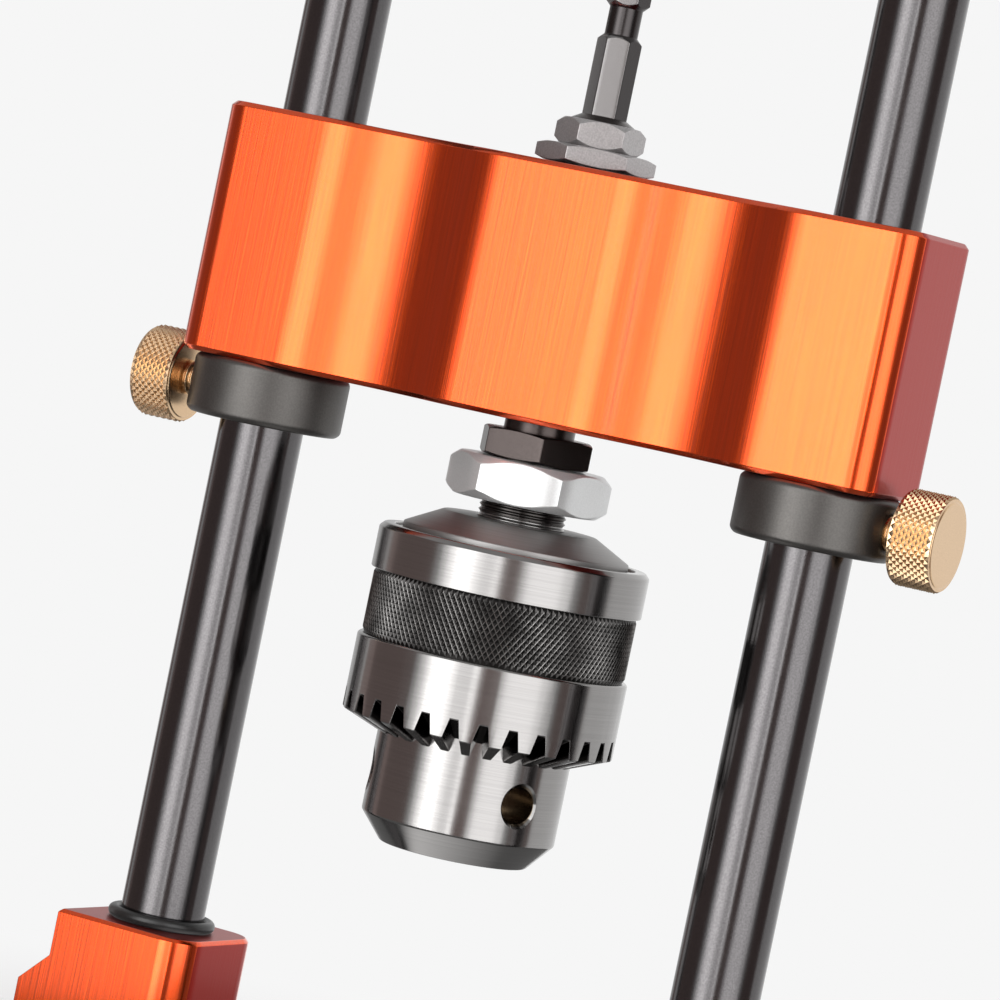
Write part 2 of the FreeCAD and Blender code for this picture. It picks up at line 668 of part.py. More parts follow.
def make_chuck_body():
    nose = "noseDiameter / 2"
    lower = "chuckBodyDiameter / 2"
    groove = "nutGrooveDiameter / 2"
    groove_top = "nutGrooveBottom + nutGrooveHeight"
    seat = "sleeveSeatDiameter / 2"
    flange = "flangeDiameter / 2"
    cap_floor = "flangeTop - capGrooveDepth"
    rim_top = "flangeTop + capRimHeight"
    taper_floor = "capTopHeight - taperLength"
    mouth_floor = f"{taper_floor} - socketWeb"
    mouth = "mouthDiameter / 2"
    knockout = "knockoutDiameter / 2"
    small = "taperSmallDiameter / 2"
    blank = turned("chuck_turned", [
        (mouth, "0"), (nose, "0"), (lower, "noseTaperHeight"), (lower, "nutGrooveBottom"),
        (groove, "nutGrooveBottom"), (groove, groove_top), (seat, groove_top),
        (seat, "flangeBottom"), (flange, "flangeBottom"),
        (flange, "flangeTop - flangeChamfer"), (f"{flange} - flangeChamfer", "flangeTop"),
        ("capGrooveDiameter / 2", "flangeTop"), ("capGrooveDiameter / 2", cap_floor),
        ("capDiameter / 2", cap_floor), ("capDiameter / 2", rim_top),
        ("capTopDiameter / 2", "capTopHeight"), ("taperLargeDiameter / 2", "capTopHeight"),
        (small, taper_floor), (knockout, taper_floor), (knockout, mouth_floor),
        (mouth, mouth_floor)])
    tools = []
    for n in range(int(v.jawCount)):
        foot, upward, out = jaw_axis(n)
        radius = v.jawDiameter / 2 + v.jawClearance
        start = foot - upward * v.jawDiameter
        top = (v.jawTipHeight + v.jawLength * math.cos(math.radians(v.jawAngle))
               + v.jawClearance + v.jawDiameter)
        hole = Part.makeCylinder(radius, top / upward.z, start, upward)
        tools.append(made(f"jaw_hole_{n + 1}", hole))
    for n in range(int(v.jawCount)):
        around = math.radians(v.keyHoleTurn - 90 + n * 360 / v.jawCount)
        inward = V(-math.cos(around), -math.sin(around), 0)
        start = inward * (-v.chuckBodyDiameter / 2 - OVERCUT) + UP * v.keyHoleHeight
        rim_radius = v.keyHoleRimDiameter / 2
        rim_depth = rim_radius - v.keyHoleDiameter / 2
        hole = Part.makeCylinder(v.keyHoleDiameter / 2, v.keyHoleDepth + OVERCUT, start, inward)
        rim = Part.makeCone(rim_radius + OVERCUT, v.keyHoleDiameter / 2, rim_depth + OVERCUT,
                            start, inward)
        tools.append(made(f"key_hole_{n + 1}", hole.fuse(rim)))
    piece("chuck_body", place(cut("chuck_body_cut", blank, tools), z=chuck_bottom))


def tooth_gap(angle):
    """One gap of the bevel gear, narrowing towards the key hole's height on the axis."""
    apex = UP * v.keyHoleHeight
    radius = v.gearDiameter / 2
    root = v.gearBottom + v.toothDepth
    spread = (v.toothGapTip - v.toothGapRoot) / v.toothDepth
    below = v.toothDepth * 2
    wide = v.toothGapRoot + spread * below
    section = [V(radius, -v.toothGapRoot / 2, root), V(radius, v.toothGapRoot / 2, root),
               V(radius, wide / 2, root - below), V(radius, -wide / 2, root - below)]

    def scaled(share):
        corners = [apex + (corner - apex) * share for corner in section]
        return Part.makePolygon(corners + corners[:1])

    gap = Part.makeLoft([scaled(share) for share in GAP_REACH], True, True)
    gap.rotate(V(0, 0, 0), UP, angle)
    return gap


def make_sleeve():
    bore = "chuckBodyDiameter / 2 + sleeveGap"
    gear = "gearDiameter / 2"
    knurl = "knurlDiameter / 2"
    nut = "nutDiameter / 2"
    top = "flangeBottom - sleeveGap"
    slope = "(gearBottom - keyHoleHeight) / (gearDiameter / 2)"
    inner_tip = f"gearBottom - (gearDiameter / 2 - chuckBodyDiameter / 2 - sleeveGap) * {slope}"
    blank = turned("sleeve_turned", [
        (bore, inner_tip), (gear, "gearBottom"), (gear, "gearTop"), (knurl, "gearTop"),
        (knurl, top), (nut, top), (nut, "nutGrooveBottom + sleeveGap"),
        (bore, "nutGrooveBottom + sleeveGap")])
    pitch = 360 / v.toothCount
    gaps = [tooth_gap(v.toothTurn - 90 + pitch * n) for n in range(int(v.toothCount))]
    toothed = cut("sleeve_toothed", blank, [made("tooth_gaps", Part.makeCompound(gaps))])
    piece("chuck_sleeve", place(toothed, z=chuck_bottom))


def make_split_nut():
    """The nut's two halves sit in the body's groove, round the backs of the jaws."""
    slope = "tan(jawAngle * 1deg)"
    back = "(jawDiameter / 2 + jawClearance) / cos(jawAngle * 1deg) + jawOffset"
    low = "nutGrooveBottom + sleeveGap"
    high = "nutGrooveBottom + nutGrooveHeight - sleeveGap"
    ring = turned("nut_turned", [
        (f"{back} + ({low}) * {slope}", low), ("nutDiameter / 2", low), ("nutDiameter / 2", high),
        (f"{back} + ({high}) * {slope}", high)])
    for name, sign in (("front", -1), ("rear", 1)):
        half = doc.addObject("Part::Box", f"{name}_half")
        bind(half, "Length", f"nutDiameter + {2 * OVERCUT}")
        bind(half, "Width", f"nutDiameter / 2 + {OVERCUT}")
        bind(half, "Height", "nutGrooveBottom + nutGrooveHeight")
        reach = v.nutDiameter / 2 + OVERCUT
        start = v.nutSplit / 2 if sign > 0 else -v.nutSplit / 2 - reach
        place(half, x=-reach, y=start)
        piece(f"{name}_nut_half", place(common(f"{name}_nut", ring, half), z=chuck_bottom))


def jaw_shape(n):
    """A round bar with a rack of teeth on its back and a two-sided grip face at its tip."""
    foot, upward, out = jaw_axis(n)
    radius = v.jawDiameter / 2
    slant = math.radians(v.jawAngle)
    tip = foot + upward * (v.jawTipHeight / upward.z)
    bar = Part.makeCylinder(radius, v.jawLength, tip, upward)
    flat_tip = Part.makeBox(4 * radius + v.gearDiameter, 4 * radius + v.gearDiameter, v.jawTipHeight)
    flat_tip.translate(V(-2 * radius - v.gearDiameter / 2, -2 * radius - v.gearDiameter / 2, 0))

    # wedge kept between two planes that meet at the grip line, 120 degrees apart
    side = UP.cross(out)
    grip = out * v.jawOpenRadius
    reach = v.gearDiameter
    share = math.radians(180 / v.jawCount)
    corners = [grip - side * v.jawGripWidth / 2, grip + side * v.jawGripWidth / 2]
    far = out * (reach * math.cos(share))
    wide = side * (reach * math.sin(share))
    corners += [corners[1] + far + wide, corners[0] + far - wide]
    wedge = Part.Face(Part.makePolygon(corners + corners[:1])).extrude(UP * v.flangeTop)

    # back envelope: the jaw's upper end is ground to clear the sleeve
    envelope = Part.makeCylinder(v.sleeveSeatDiameter / 2, v.flangeTop)
    jaw = bar.common(wedge).common(envelope).cut(flat_tip)

    # rack: saw-shaped grooves across the jaw's back, each jaw a third of a pitch on from the last
    outward = out * math.cos(slant) - UP * math.sin(slant)
    shift = v.jawThreadPitch * n / v.jawCount
    steps = int((v.jawLength - v.jawThreadStart) / v.jawThreadPitch)
    for step in range(steps):
        start = tip + upward * (v.jawThreadStart + shift + step * v.jawThreadPitch)
        crest = start + outward * (radius + v.jawThreadDepth)
        root = start + outward * (radius - v.jawThreadDepth)
        run = upward * (v.jawThreadPitch * RACK_FLANK_SHARE)
        profile = [root, crest, crest + run]
        groove = Part.Face(Part.makePolygon([p - side * radius for p in profile + profile[:1]]))
        jaw = jaw.cut(groove.extrude(side * 2 * radius))
    return jaw


def make_jaws():
    for n in range(int(v.jawCount)):
        piece(f"jaw_{n + 1}", place(made(f"jaw_{n + 1}_cut", jaw_shape(n)), z=chuck_bottom))


make_base()
make_rods()
make_depth_stops()
make_carriage()
make_bearings()
make_spindle()
make_chuck_body()
make_sleeve()
make_split_nut()
make_jaws()
doc.recompute()

failed = [item.Name for item in doc.Objects if {"Invalid", "Error"} & set(item.State)]
failed += [item.Label for item in pieces if item.Shape.isNull() or not item.Shape.isValid()]
if failed:
    raise RuntimeError("these did not build: " + ", ".join(failed))
for item in pieces:
    item.Shape.exportStep(f"parts/{item.Label}.step")
    print(item.Label, len(item.Shape.Solids), round(item.Shape.Volume, 1))
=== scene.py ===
import json
import math

import bmesh
import bpy
from mathutils import Matrix, Vector


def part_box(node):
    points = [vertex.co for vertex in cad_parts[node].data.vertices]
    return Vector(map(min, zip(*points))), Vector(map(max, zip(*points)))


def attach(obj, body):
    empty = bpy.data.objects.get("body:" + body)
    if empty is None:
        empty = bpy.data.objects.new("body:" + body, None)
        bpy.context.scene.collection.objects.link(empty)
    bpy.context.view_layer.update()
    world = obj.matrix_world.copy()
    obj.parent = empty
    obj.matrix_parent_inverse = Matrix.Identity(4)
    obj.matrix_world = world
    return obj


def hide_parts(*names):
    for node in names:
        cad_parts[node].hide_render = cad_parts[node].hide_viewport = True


# Drill guide: meshes and materials for the parts that show, in the row frame.
# Meshes are written in millimetres and scaled once, when an object is made.

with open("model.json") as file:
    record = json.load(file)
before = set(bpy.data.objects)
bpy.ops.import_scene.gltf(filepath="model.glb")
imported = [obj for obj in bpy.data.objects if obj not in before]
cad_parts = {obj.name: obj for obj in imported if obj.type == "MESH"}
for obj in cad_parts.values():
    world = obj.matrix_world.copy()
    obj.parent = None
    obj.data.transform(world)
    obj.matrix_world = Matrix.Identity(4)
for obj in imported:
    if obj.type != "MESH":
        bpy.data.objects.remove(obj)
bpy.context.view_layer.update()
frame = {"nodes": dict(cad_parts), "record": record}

MM = 0.001
BODY = {node: body for body, nodes in frame["record"]["behaviour"]["bodies"].items() for node in nodes}
SLOT = {part["node"]: part["material_slot"] for part in frame["record"]["subparts"]}
SIDES = {"left": -1, "right": 1}
LEVELS = ("lower", "upper")


def box(node):
    """Lowest and highest corner of a CAD node, in millimetres."""
    low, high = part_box(node)
    return low / MM, high / MM


def half_width(node):
    low, high = box(node)
    return (high.x - low.x) / 2


# Sizes that the frame's boxes don't give, in millimetres

# General: the radius that stands for the axis, limits for cleaning a mesh, gaps and small edges.
# Angles are in degrees here and below
AXIS = 0.001
MERGE = 0.0001
DEGENERATE = 0.001
NUT_FACE_SHARE = 0.98
CLEARANCE = 0.05
TIGHT = 0.02
OVERCUT = 1
SMALL_BEVEL = 0.15
SOFT_SHARE = 0.4
BEVEL_ANGLE = 25
NUT_BEVEL_ANGLE = 18

# Base
FOOT_HEIGHT = 14
FOOT_CORNER = 4
BASE_CHAMFER = 0.6
PILLAR_WIDTH = 25
PILLAR_DEPTH = 25
PILLAR_CORNER = 5.5
SHOULDER_STEP = 5
SHOULDER_DROP = 8
WORK_WINDOW = 46
SCREW_SEAT = 14
SCREW_SEAT_DEPTH = 8.5
SCREW_HOLE = 8.1

# Rods, carriage and depth stops
ROD_CHAMFER = 1
SCALLOP_CENTER = 26.84
SCALLOP_REACH = 16.57
CREST_RADIUS = 18.3
VALLEY_RADIUS = 29.15
SCALLOP_STEPS = 14
CARRIAGE_CORNER = 4.5
CARRIAGE_CHAMFER = 0.8
COLLAR_CHAMFER = 0.8
HEAD_LENGTH = 7.5
HEAD_CHAMFER = 0.6
THREAD_RADIUS = 3
THREAD_PITCH = 1
THREAD_DEPTH = 0.55
THREAD_HOLE_START = 1
THREAD_GROOVE = (0.45, 0.55, 0.95)
THREAD_NECK = 0.1
THREAD_HIDDEN = 1.5
HEAD_KNURL_DEPTH = 0.4
HEAD_KNURL_PITCH = 1.25
HEAD_KNURL_EDGE = 0.2
KNURL_WALL = 0.9
KNURL_RELIEF = 0.45

# Spindle parts, from above
SPINDLE_BORE = 5.05
LOCKNUT_WIDTH = 17
LOCKNUT_BORE = 3.1
LOCKNUT_DROP = 0.5
LOCKNUT_TURN = 26
JAM_NECK_RADIUS = 5.8
JAM_NUT_WIDTH = 17
JAM_NUT_HEIGHT = 4.6
JAM_NUT_DROP = 0.4
JAM_NUT_TURN = 1
JAM_NECK_OVERLAP = 0.5
EJECTOR_WIDTH = 24
EJECTOR_BORE = 7.2
EJECTOR_DROP = 1.4
EJECTOR_TURN = 18
EJECTOR_CROWN = 13.4
SHANK_WIDTH = 6.35
SHANK_NUT_WIDTH = 12.7
SHANK_NUT_HEIGHT = 4.4
SHANK_NUT_DROP = 1
SHANK_FLARE = 5.4
SHANK_FLARE_HEIGHT = 1
SHANK_GROOVE = 2.7
SHANK_LENGTH = 12.3
SHANK_GROOVE_LENGTH = 6.4
SHANK_END_LENGTH = 9.4
SHANK_TURN = 22
SHANK_OVERLAP = 0.5
# direction, in degrees, of the flats that get the painted highlight
SHANK_HIGHLIGHT_TURN = 262
STEM_PITCH = 0.9
STEM_GROOVE = 0.35
STEM_FLANKS = (0.4, 0.6)
# how far below the zinc nut the painted shadow on the thread starts
NUT_SHADOW_REACH = 1.9
STEM_BORE = 5.02
STEM_FOOT = 6.2
STEM_SHOULDER = 6.95

# Chuck: heights above its nose plane
NOSE_RADIUS = 12.1
NOSE_TAPER = 4.4
BODY_RADIUS = 15.85
NUT_GROOVE = (24.2, 30.3)
NUT_GROOVE_RADIUS = 12.2
SEAT_RADIUS = 18.5
FLANGE_RADIUS = 22.2
FLANGE = (43.15, 50.6)
FLANGE_CHAMFER = 0.8
CAP_GROOVE_RADIUS = 19.7
CAP_GROOVE_DEPTH = 0.7
CAP_RADIUS = 18.5
CAP_RIM = 0.7
CAP_TOP_RADIUS = 12.5
CAP_TOP = 54.5
STEM_SOCKET = 7.0
MOUTH_RADIUS = 5.2
KEY_HEIGHT = 10.9
KEY_RADIUS = 3
KEY_DEPTH = 7.5
KEY_RIM = 0.7
KEY_TURN = -30
SHARP_RIM = 25
JAW_RADIUS = 3.28
JAW_OFFSET = 4.3
JAW_ANGLE = 15
JAW_TURN = 60
JAW_REACH = (-4, 2)
BODY_ROWS = 24
STEM_SOCKET_DEPTH = 1
GEAR_RADIUS = 22.2
GEAR_BOTTOM = 20
GEAR_TOP = 32.5
GEAR_CHAMFER = 0.35
KNURL_RADIUS = 21.6
BAND_DEPTH = 0.35
BAND_PITCH = (0.98, 1.5)
SLEEVE_GAP = 0.05
SLEEVE_INSIDE = 18.7
KNURL_CORE = 0.5
TEETH = 29
TOOTH_DEPTH = 3.2
GAP_ROOT = 1.45
GAP_TIP = 2.85
GAP_SHADE = (0.15, 0.5)
GAP_BEHIND = (0.05, 0.3)
GAP_ABOVE = 0.3
RIDGE_HIGHLIGHT_REACH = (0.09, 0.02)
TOOTH_TURN = -62.4

ROD_BOX = {side: box(f"{side}_rod") for side in SIDES}
ROD_X = {side: (low.x + high.x) / 2 for side, (low, high) in ROD_BOX.items()}
ROD_RADIUS = (ROD_BOX["left"][1].x - ROD_BOX["left"][0].x) / 2


# Mesh building: every form is a stack of rows with the same number of points

def circle(radius, height, count):
    return [(radius * math.cos(2 * math.pi * n / count), radius * math.sin(2 * math.pi * n / count), height)
            for n in range(count)]


def softened(profile, radius, closed, steps=3):
    """Round the corners of a (radius, height) profile with small curves."""
    points = [Vector(p) for p in profile]
    result = []
    last = len(points) - 1
    for n, corner in enumerate(points):
        if not closed and n in (0, last):
            result.append(corner)
            continue
        before = points[n - 1] - corner
        after = points[(n + 1) % len(points)] - corner
        reach = min(radius, SOFT_SHARE * before.length, SOFT_SHARE * after.length)
        start = corner + before.normalized() * reach
        end = corner + after.normalized() * reach
        for step in range(steps + 1):
            t = step / steps
            result.append(start * (1 - t) ** 2 + corner * 2 * t * (1 - t) + end * t ** 2)
    return result


def skin(mesh, rows, closed=False):
    """Join rows of points with quads. A closed skin also joins the last row to the first."""
    made = [[mesh.verts.new(point) for point in row] for row in rows]
    pairs = list(zip(made, made[1:]))
    if closed:
        pairs.append((made[-1], made[0]))
    count = len(made[0])
    for low, high in pairs:
        for n in range(count):
            after = (n + 1) % count
            mesh.faces.new((low[n], low[after], high[after], high[n]))
    if not closed:
        mesh.faces.new(made[0][::-1])
        mesh.faces.new(made[-1])


def finished(name, mesh, bevel=0.0, bevel_angle=BEVEL_ANGLE):
    """Turn a bmesh in millimetres into an object with clean smooth shading."""
    bmesh.ops.remove_doubles(mesh, verts=mesh.verts, dist=MERGE)
    bmesh.ops.recalc_face_normals(mesh, faces=mesh.faces)
    for face in mesh.faces:
        face.smooth = True
    bmesh.ops.scale(mesh, vec=(MM, MM, MM), verts=mesh.verts)
    data = bpy.data.meshes.new(name)
    mesh.to_mesh(data)
    mesh.free()
    obj = bpy.data.objects.new(name, data)
    bpy.context.scene.collection.objects.link(obj)
    if bevel:
        edge = obj.modifiers.new("bevel", "BEVEL")
        edge.width = bevel * MM
        edge.segments = 2
        edge.limit_method = "ANGLE"
        edge.angle_limit = math.radians(bevel_angle)
    obj.modifiers.new("weighted", "WEIGHTED_NORMAL")
    return obj


def lathe_mesh(profile, soft=0.2, count=128):
    """Turn a (radius, height) profile about the upright axis. One that starts off the axis is a ring."""
    closed = profile[0][0] > 0
    rows = [circle(max(radius, AXIS), height, count) for radius, height in softened(profile, soft, closed)]
    mesh = bmesh.new()
    skin(mesh, rows, closed)
    return mesh


def lathe(name, profile, soft=0.2, count=128):
    return finished(name, lathe_mesh(profile, soft, count))


def washer(name, bore, radius, low, high, soft):
    return lathe(name, [(bore, low), (radius, low), (radius, high), (bore, high)], soft, 96)


def turning(degrees, axis):
    return Matrix.Rotation(math.radians(degrees), 4, axis)


def move(obj, x=0.0, z=0.0, turn=0.0, tilt=0.0):
    """Move the mesh itself, so the object stays at the origin. Tilt turns it about Y, in degrees."""
    obj.data.transform(Matrix.Translation((x * MM, 0, z * MM)) @ turning(tilt, "Y") @ turning(turn, "Z"))
    return obj


def carve(obj, cutters):
    """Cut bores into a mesh and keep the result as its new mesh."""
    for cutter in cutters:
        hole = obj.modifiers.new("hole", "BOOLEAN")
        hole.operation = "DIFFERENCE"
        hole.solver = "EXACT"
        hole.object = cutter
        while obj.modifiers[0] != hole:
            bpy.context.view_layer.objects.active = obj
            bpy.ops.object.modifier_move_up(modifier=hole.name)
        bpy.context.view_layer.objects.active = obj
        bpy.ops.object.modifier_apply(modifier=hole.name)
        bpy.data.objects.remove(cutter)
    for face in obj.data.polygons:
        face.use_smooth = True
    return obj


def sharpen(obj, degrees):
    """Keep the rims of carved holes crisp."""
    mesh = bmesh.new()
    mesh.from_mesh(obj.data)
    for edge in mesh.edges:
        if len(edge.link_faces) == 2 and edge.calc_face_angle(0) > math.radians(degrees):
            edge.smooth = False
    mesh.to_mesh(obj.data)
    mesh.free()
    obj.modifiers["weighted"].keep_sharp = True
    return obj


def plug(radius, low, high, count=96, radius_high=None):
    """A plain cutter along the upright axis."""
    mesh = bmesh.new()
    skin(mesh, [circle(radius, low, count), circle(radius_high or radius, high, count)])
    return finished("cutter", mesh)


HEX_STEPS = 8
HEX_ANGLES = [math.radians(60 * side + 60 * n / HEX_STEPS) for side in range(6) for n in range(HEX_STEPS)]


def hex_reach(width, crown):
    """Distance from the axis to a hexagon's outline, at each of the shared angles. A corner is on X."""
    reaches = []
    for angle in HEX_ANGLES:
        inside = round(math.degrees(angle), 6) % 60 - 30
        reaches.append(min(width / 2 / math.cos(math.radians(inside)), crown))
    return reaches


def hex_row(reaches, heights):
    return [(r * math.cos(a), r * math.sin(a), h) for a, r, h in zip(HEX_ANGLES, reaches, heights)]


def hex_ring(radius, height):
    return hex_row([radius] * len(HEX_ANGLES), [height] * len(HEX_ANGLES))


def hex_rows(width, low, high, low_cone, high_cone, crown=None):
    """Rows of a hexagonal length. Each cone is (face radius, slope) and turns its corners down."""
    reaches = hex_reach(width, crown or width)
    face, slope = low_cone
    rows = [hex_ring(face, low), hex_row(reaches, [low + slope * (r - face) for r in reaches])]
    face, slope = high_cone
    rows += [hex_row(reaches, [high - slope * (r - face) for r in reaches]), hex_ring(face, high)]
    return rows


def nut(name, width, low, high, bore, drop, turn, crown=None, bevel=0.12):
    """A nut with its corners turned down at both faces."""
    corner = crown or width / math.sqrt(3)
    face = width / 2 * NUT_FACE_SHARE
    cone = (face, drop / (corner - face))
    rows = hex_rows(width, low, high, cone, cone, crown)
    bore_rows = [hex_ring(bore, high), hex_ring(bore, low)] if bore else []
    mesh = bmesh.new()
    skin(mesh, rows + bore_rows, closed=bool(bore))
    return move(finished(name, mesh, bevel, NUT_BEVEL_ANGLE), turn=turn)


def knurl(name, radius, depth, low, high, across, along, wall, ridged=False):
    """A closed ring with diamonds outside, as pyramids between grooves or as pits between ridges."""
    columns = 2 * round(2 * math.pi * radius / across)
    rows = 2 * round((high - low) / along)
    mesh = bmesh.new()
    grid = []
    for row in range(rows + 1):
        height = low + (high - low) * row / rows
        line = []
        for column in range(columns):
            peak = (row + column) % 2 == 1 and row not in (0, rows)
            r = radius if peak else radius - depth
            angle = 2 * math.pi * column / columns
            line.append(mesh.verts.new((r * math.cos(angle), r * math.sin(angle), height)))
        grid.append(line)
    for row in range(rows):
        for column in range(columns):
            after = (column + 1) % columns
            a, b = grid[row][column], grid[row][after]
            c, d = grid[row + 1][after], grid[row + 1][column]
            if (row + column) % 2 == ridged:
                triangles = ((a, b, c), (a, c, d))
            else:
                triangles = ((a, b, d), (b, c, d))
            for triangle in triangles:
                mesh.faces.new(triangle)
    inner = [[mesh.verts.new(p) for p in circle(radius - wall, height, columns)] for height in (low, high)]
    for column in range(columns):
        after = (column + 1) % columns
        mesh.faces.new((inner[0][after], inner[0][column], inner[1][column], inner[1][after]))
        mesh.faces.new((grid[0][after], grid[0][column], inner[0][column], inner[0][after]))
        mesh.faces.new((grid[-1][column], grid[-1][after], inner[1][after], inner[1][column]))
    obj = finished(name, mesh)
    for face in obj.data.polygons:
        face.use_smooth = False
    obj.modifiers.clear()
    return obj


# Node trees: a value is a socket or a number

def feed(tree, socket, value):
    if isinstance(value, (int, float)):
        socket.default_value = value
    else:
        tree.links.new(value, socket)


def ramp(tree, value, start, end, low=0.0, high=1.0, smooth=False):
    """Map start to end onto low to high, and hold the ends."""
    node = tree.nodes.new("ShaderNodeMapRange")
    if smooth:
        node.interpolation_type = "SMOOTHSTEP"
    names = ("Value", "From Min", "From Max", "To Min", "To Max")
    for name, given in zip(names, (value, start, end, low, high)):
        feed(tree, node.inputs[name], given)
    return node.outputs["Result"]


def measure(tree, operation, vector, other=None):
    """The length of a vector, or its product with another one."""
    node = tree.nodes.new("ShaderNodeVectorMath")
    node.operation = operation
    tree.links.new(vector, node.inputs[0])
    if other:
        node.inputs[1].default_value = other
    return node.outputs["Value"]


# Materials: one procedural finish for each slot of the record, and some for single pieces

MICRON = 0.000001
NOISE_MIDDLE = (0.3, 0.7)
STEEL = (0.29, 0.282, 0.277)
STEEL_ROUGHNESS = 0.17
STEEL_CLOUD = 0.03
SATIN_EXTRA = 0.25
DYE = (0.9, 0.086, 0.005)
DYE_ROUGHNESS = 0.17
DYE_COAT = 0.7
# painted shade: the darker red of the faces that face the ends, up or down
CUT_FACE_PAINTED_SHADE = (0.4, 0.02, 0.012)
CUT_ROUGHNESS = 0.36
CUT_COAT = 0.22
CUT_AND_SHADE_FACING = 0.96
CUT_AND_SHADE_ASIDE = 0.28
CUT_AND_SHADE_WINDOW = 4
CARRIAGE_LEVEL = 0.1
UPRIGHT_BRUSH = (4200, 4200, 60)
BROAD_BRUSH = (1200, 1200, 25)
ROUND_TURNING = (25, 25, 5200)
FINE_GRAIN = (3500, 3500, 3500)
HIGHLIGHT_CLOUD = (300, 300, 300)
BROAD_CLOUD = (45, 45, 45)
LINE_SHADE = 0.06
HAIR_SHADE = 0.12
HAIR_RELIEF = 14
GRAIN_RELIEF = 6
BRUSHED_CLOUD = 0.2
GRAINY_CLOUD = 0.15
# painted shadow of the zinc nut on the stem's thread
NUT_PAINTED_SHADOW = (0.06, 0.055, 0.053)
BLACK_BAR = (0.06, 0.055, 0.055)
# painted highlight of the shank's front flats
FLAT_PAINTED_HIGHLIGHT = (0.24, 0.232, 0.23)
HIGHLIGHT_FACING = 0.6
KEY_HOLE_BROWN = (0.22, 0.18, 0.135)
TOOTH_GAP_BLACK = (0.016, 0.014, 0.013)
KNURL_BLACK = (0.05, 0.048, 0.047)
# painted highlight of the knurl's ridges
KNURL_PAINTED_HIGHLIGHT = (0.4, 0.39, 0.38)


class Finish:
    """A Principled material with fine procedural detail in its colour, gloss and relief."""

    def __init__(self, name, color, roughness, metallic=1.0, coat=0.0):
        self.material = bpy.data.materials.new(name)
        self.material.use_nodes = True
        self.tree = self.material.node_tree
        self.nodes = self.tree.nodes
        self.links = self.tree.links
        self.shader = self.nodes["Principled BSDF"]
        self.color = color
        self.roughness = roughness
        self.shader.inputs["Base Color"].default_value = (*color, 1)
        self.shader.inputs["Roughness"].default_value = roughness
        self.shader.inputs["Metallic"].default_value = metallic
        self.shader.inputs["Coat Weight"].default_value = coat
        self.place = self.nodes.new("ShaderNodeTexCoord").outputs["Object"]
        self.relief = None

    def noise(self, scale, detail=2):
        """Noise whose scale is (x, y, z) in features a metre."""
        stretch = self.nodes.new("ShaderNodeMapping")
        stretch.inputs["Scale"].default_value = scale
        self.links.new(self.place, stretch.inputs["Vector"])
        texture = self.nodes.new("ShaderNodeTexNoise")
        texture.inputs["Scale"].default_value = 1.0
        texture.inputs["Detail"].default_value = detail
        self.links.new(stretch.outputs["Vector"], texture.inputs["Vector"])
        return texture.outputs["Fac"]

    def ramp(self, value, start, end, low=0.0, high=1.0):
        """Map start to end onto low to high, and hold the ends."""
        return ramp(self.tree, value, start, end, low, high)

    def spread(self, value, low, high):
        """Map the middle of a noise onto low to high."""
        return self.ramp(value, *NOISE_MIDDLE, low, high)

    def math(self, operation, *values):
        """A math node. Each value is a socket or a number."""
        node = self.nodes.new("ShaderNodeMath")
        node.operation = operation
        for socket, value in zip(node.inputs, values):
            feed(self.tree, socket, value)
        return node.outputs[0]

    def facing(self):
        """The surface's direction, as X, Y and Z sockets."""
        parts = self.nodes.new("ShaderNodeSeparateXYZ")
        self.links.new(self.nodes.new("ShaderNodeTexCoord").outputs["Normal"], parts.inputs[0])
        return parts.outputs

    def height(self):
        parts = self.nodes.new("ShaderNodeSeparateXYZ")
        self.links.new(self.place, parts.inputs[0])
        return parts.outputs["Z"]

    def radius(self):
        """Distance from the upright axis."""
        flat = self.nodes.new("ShaderNodeVectorMath")
        flat.operation = "MULTIPLY"
        flat.inputs[1].default_value = (1, 1, 0)
        self.links.new(self.place, flat.inputs[0])
        return measure(self.tree, "LENGTH", flat.outputs["Vector"])

    def mix_color(self, share, color):
        """Lay another colour over the surface's own where the share is 1."""
        mix = self.nodes.new("ShaderNodeMix")
        mix.data_type = "RGBA"
        own = self.shader.inputs["Base Color"]
        if own.is_linked:
            self.links.new(own.links[0].from_socket, mix.inputs[6])
        else:
            mix.inputs[6].default_value = own.default_value
        mix.inputs[7].default_value = (*color, 1)
        self.links.new(share, mix.inputs["Factor"])
        self.links.new(mix.outputs[2], own)
        return self

    def vary_roughness(self, value, amount):
        self.links.new(self.spread(value, self.roughness - amount, self.roughness + amount),
                       self.shader.inputs["Roughness"])
        return self

    def vary_color(self, value, amount):
        """Darken and lighten the colour by a share."""
        mix = self.nodes.new("ShaderNodeMix")
        mix.data_type = "RGBA"
        mix.inputs[6].default_value = (*(c * (1 - amount) for c in self.color), 1)
        mix.inputs[7].default_value = (*(min(1, c * (1 + amount)) for c in self.color), 1)
        self.links.new(self.spread(value, 0, 1), mix.inputs["Factor"])
        self.links.new(mix.outputs[2], self.shader.inputs["Base Color"])
        return self

    def bump(self, value, distance):
        """Raise the surface by a height that is given in metres."""
        bump = self.nodes.new("ShaderNodeBump")
        bump.inputs["Strength"].default_value = 1.0
        bump.inputs["Distance"].default_value = distance
        self.links.new(value, bump.inputs["Height"])
        if self.relief:
            self.links.new(self.relief, bump.inputs["Normal"])
        self.relief = bump.outputs["Normal"]
        self.links.new(self.relief, self.shader.inputs["Normal"])
        return self


def turned(name, color, roughness):
    """Metal with fine lines round the axis."""
    finish = Finish(name, color, roughness)
    lines = finish.noise(ROUND_TURNING, 3)
    finish.vary_color(lines, LINE_SHADE)
    finish.bump(lines, 2 * MICRON)
    return finish


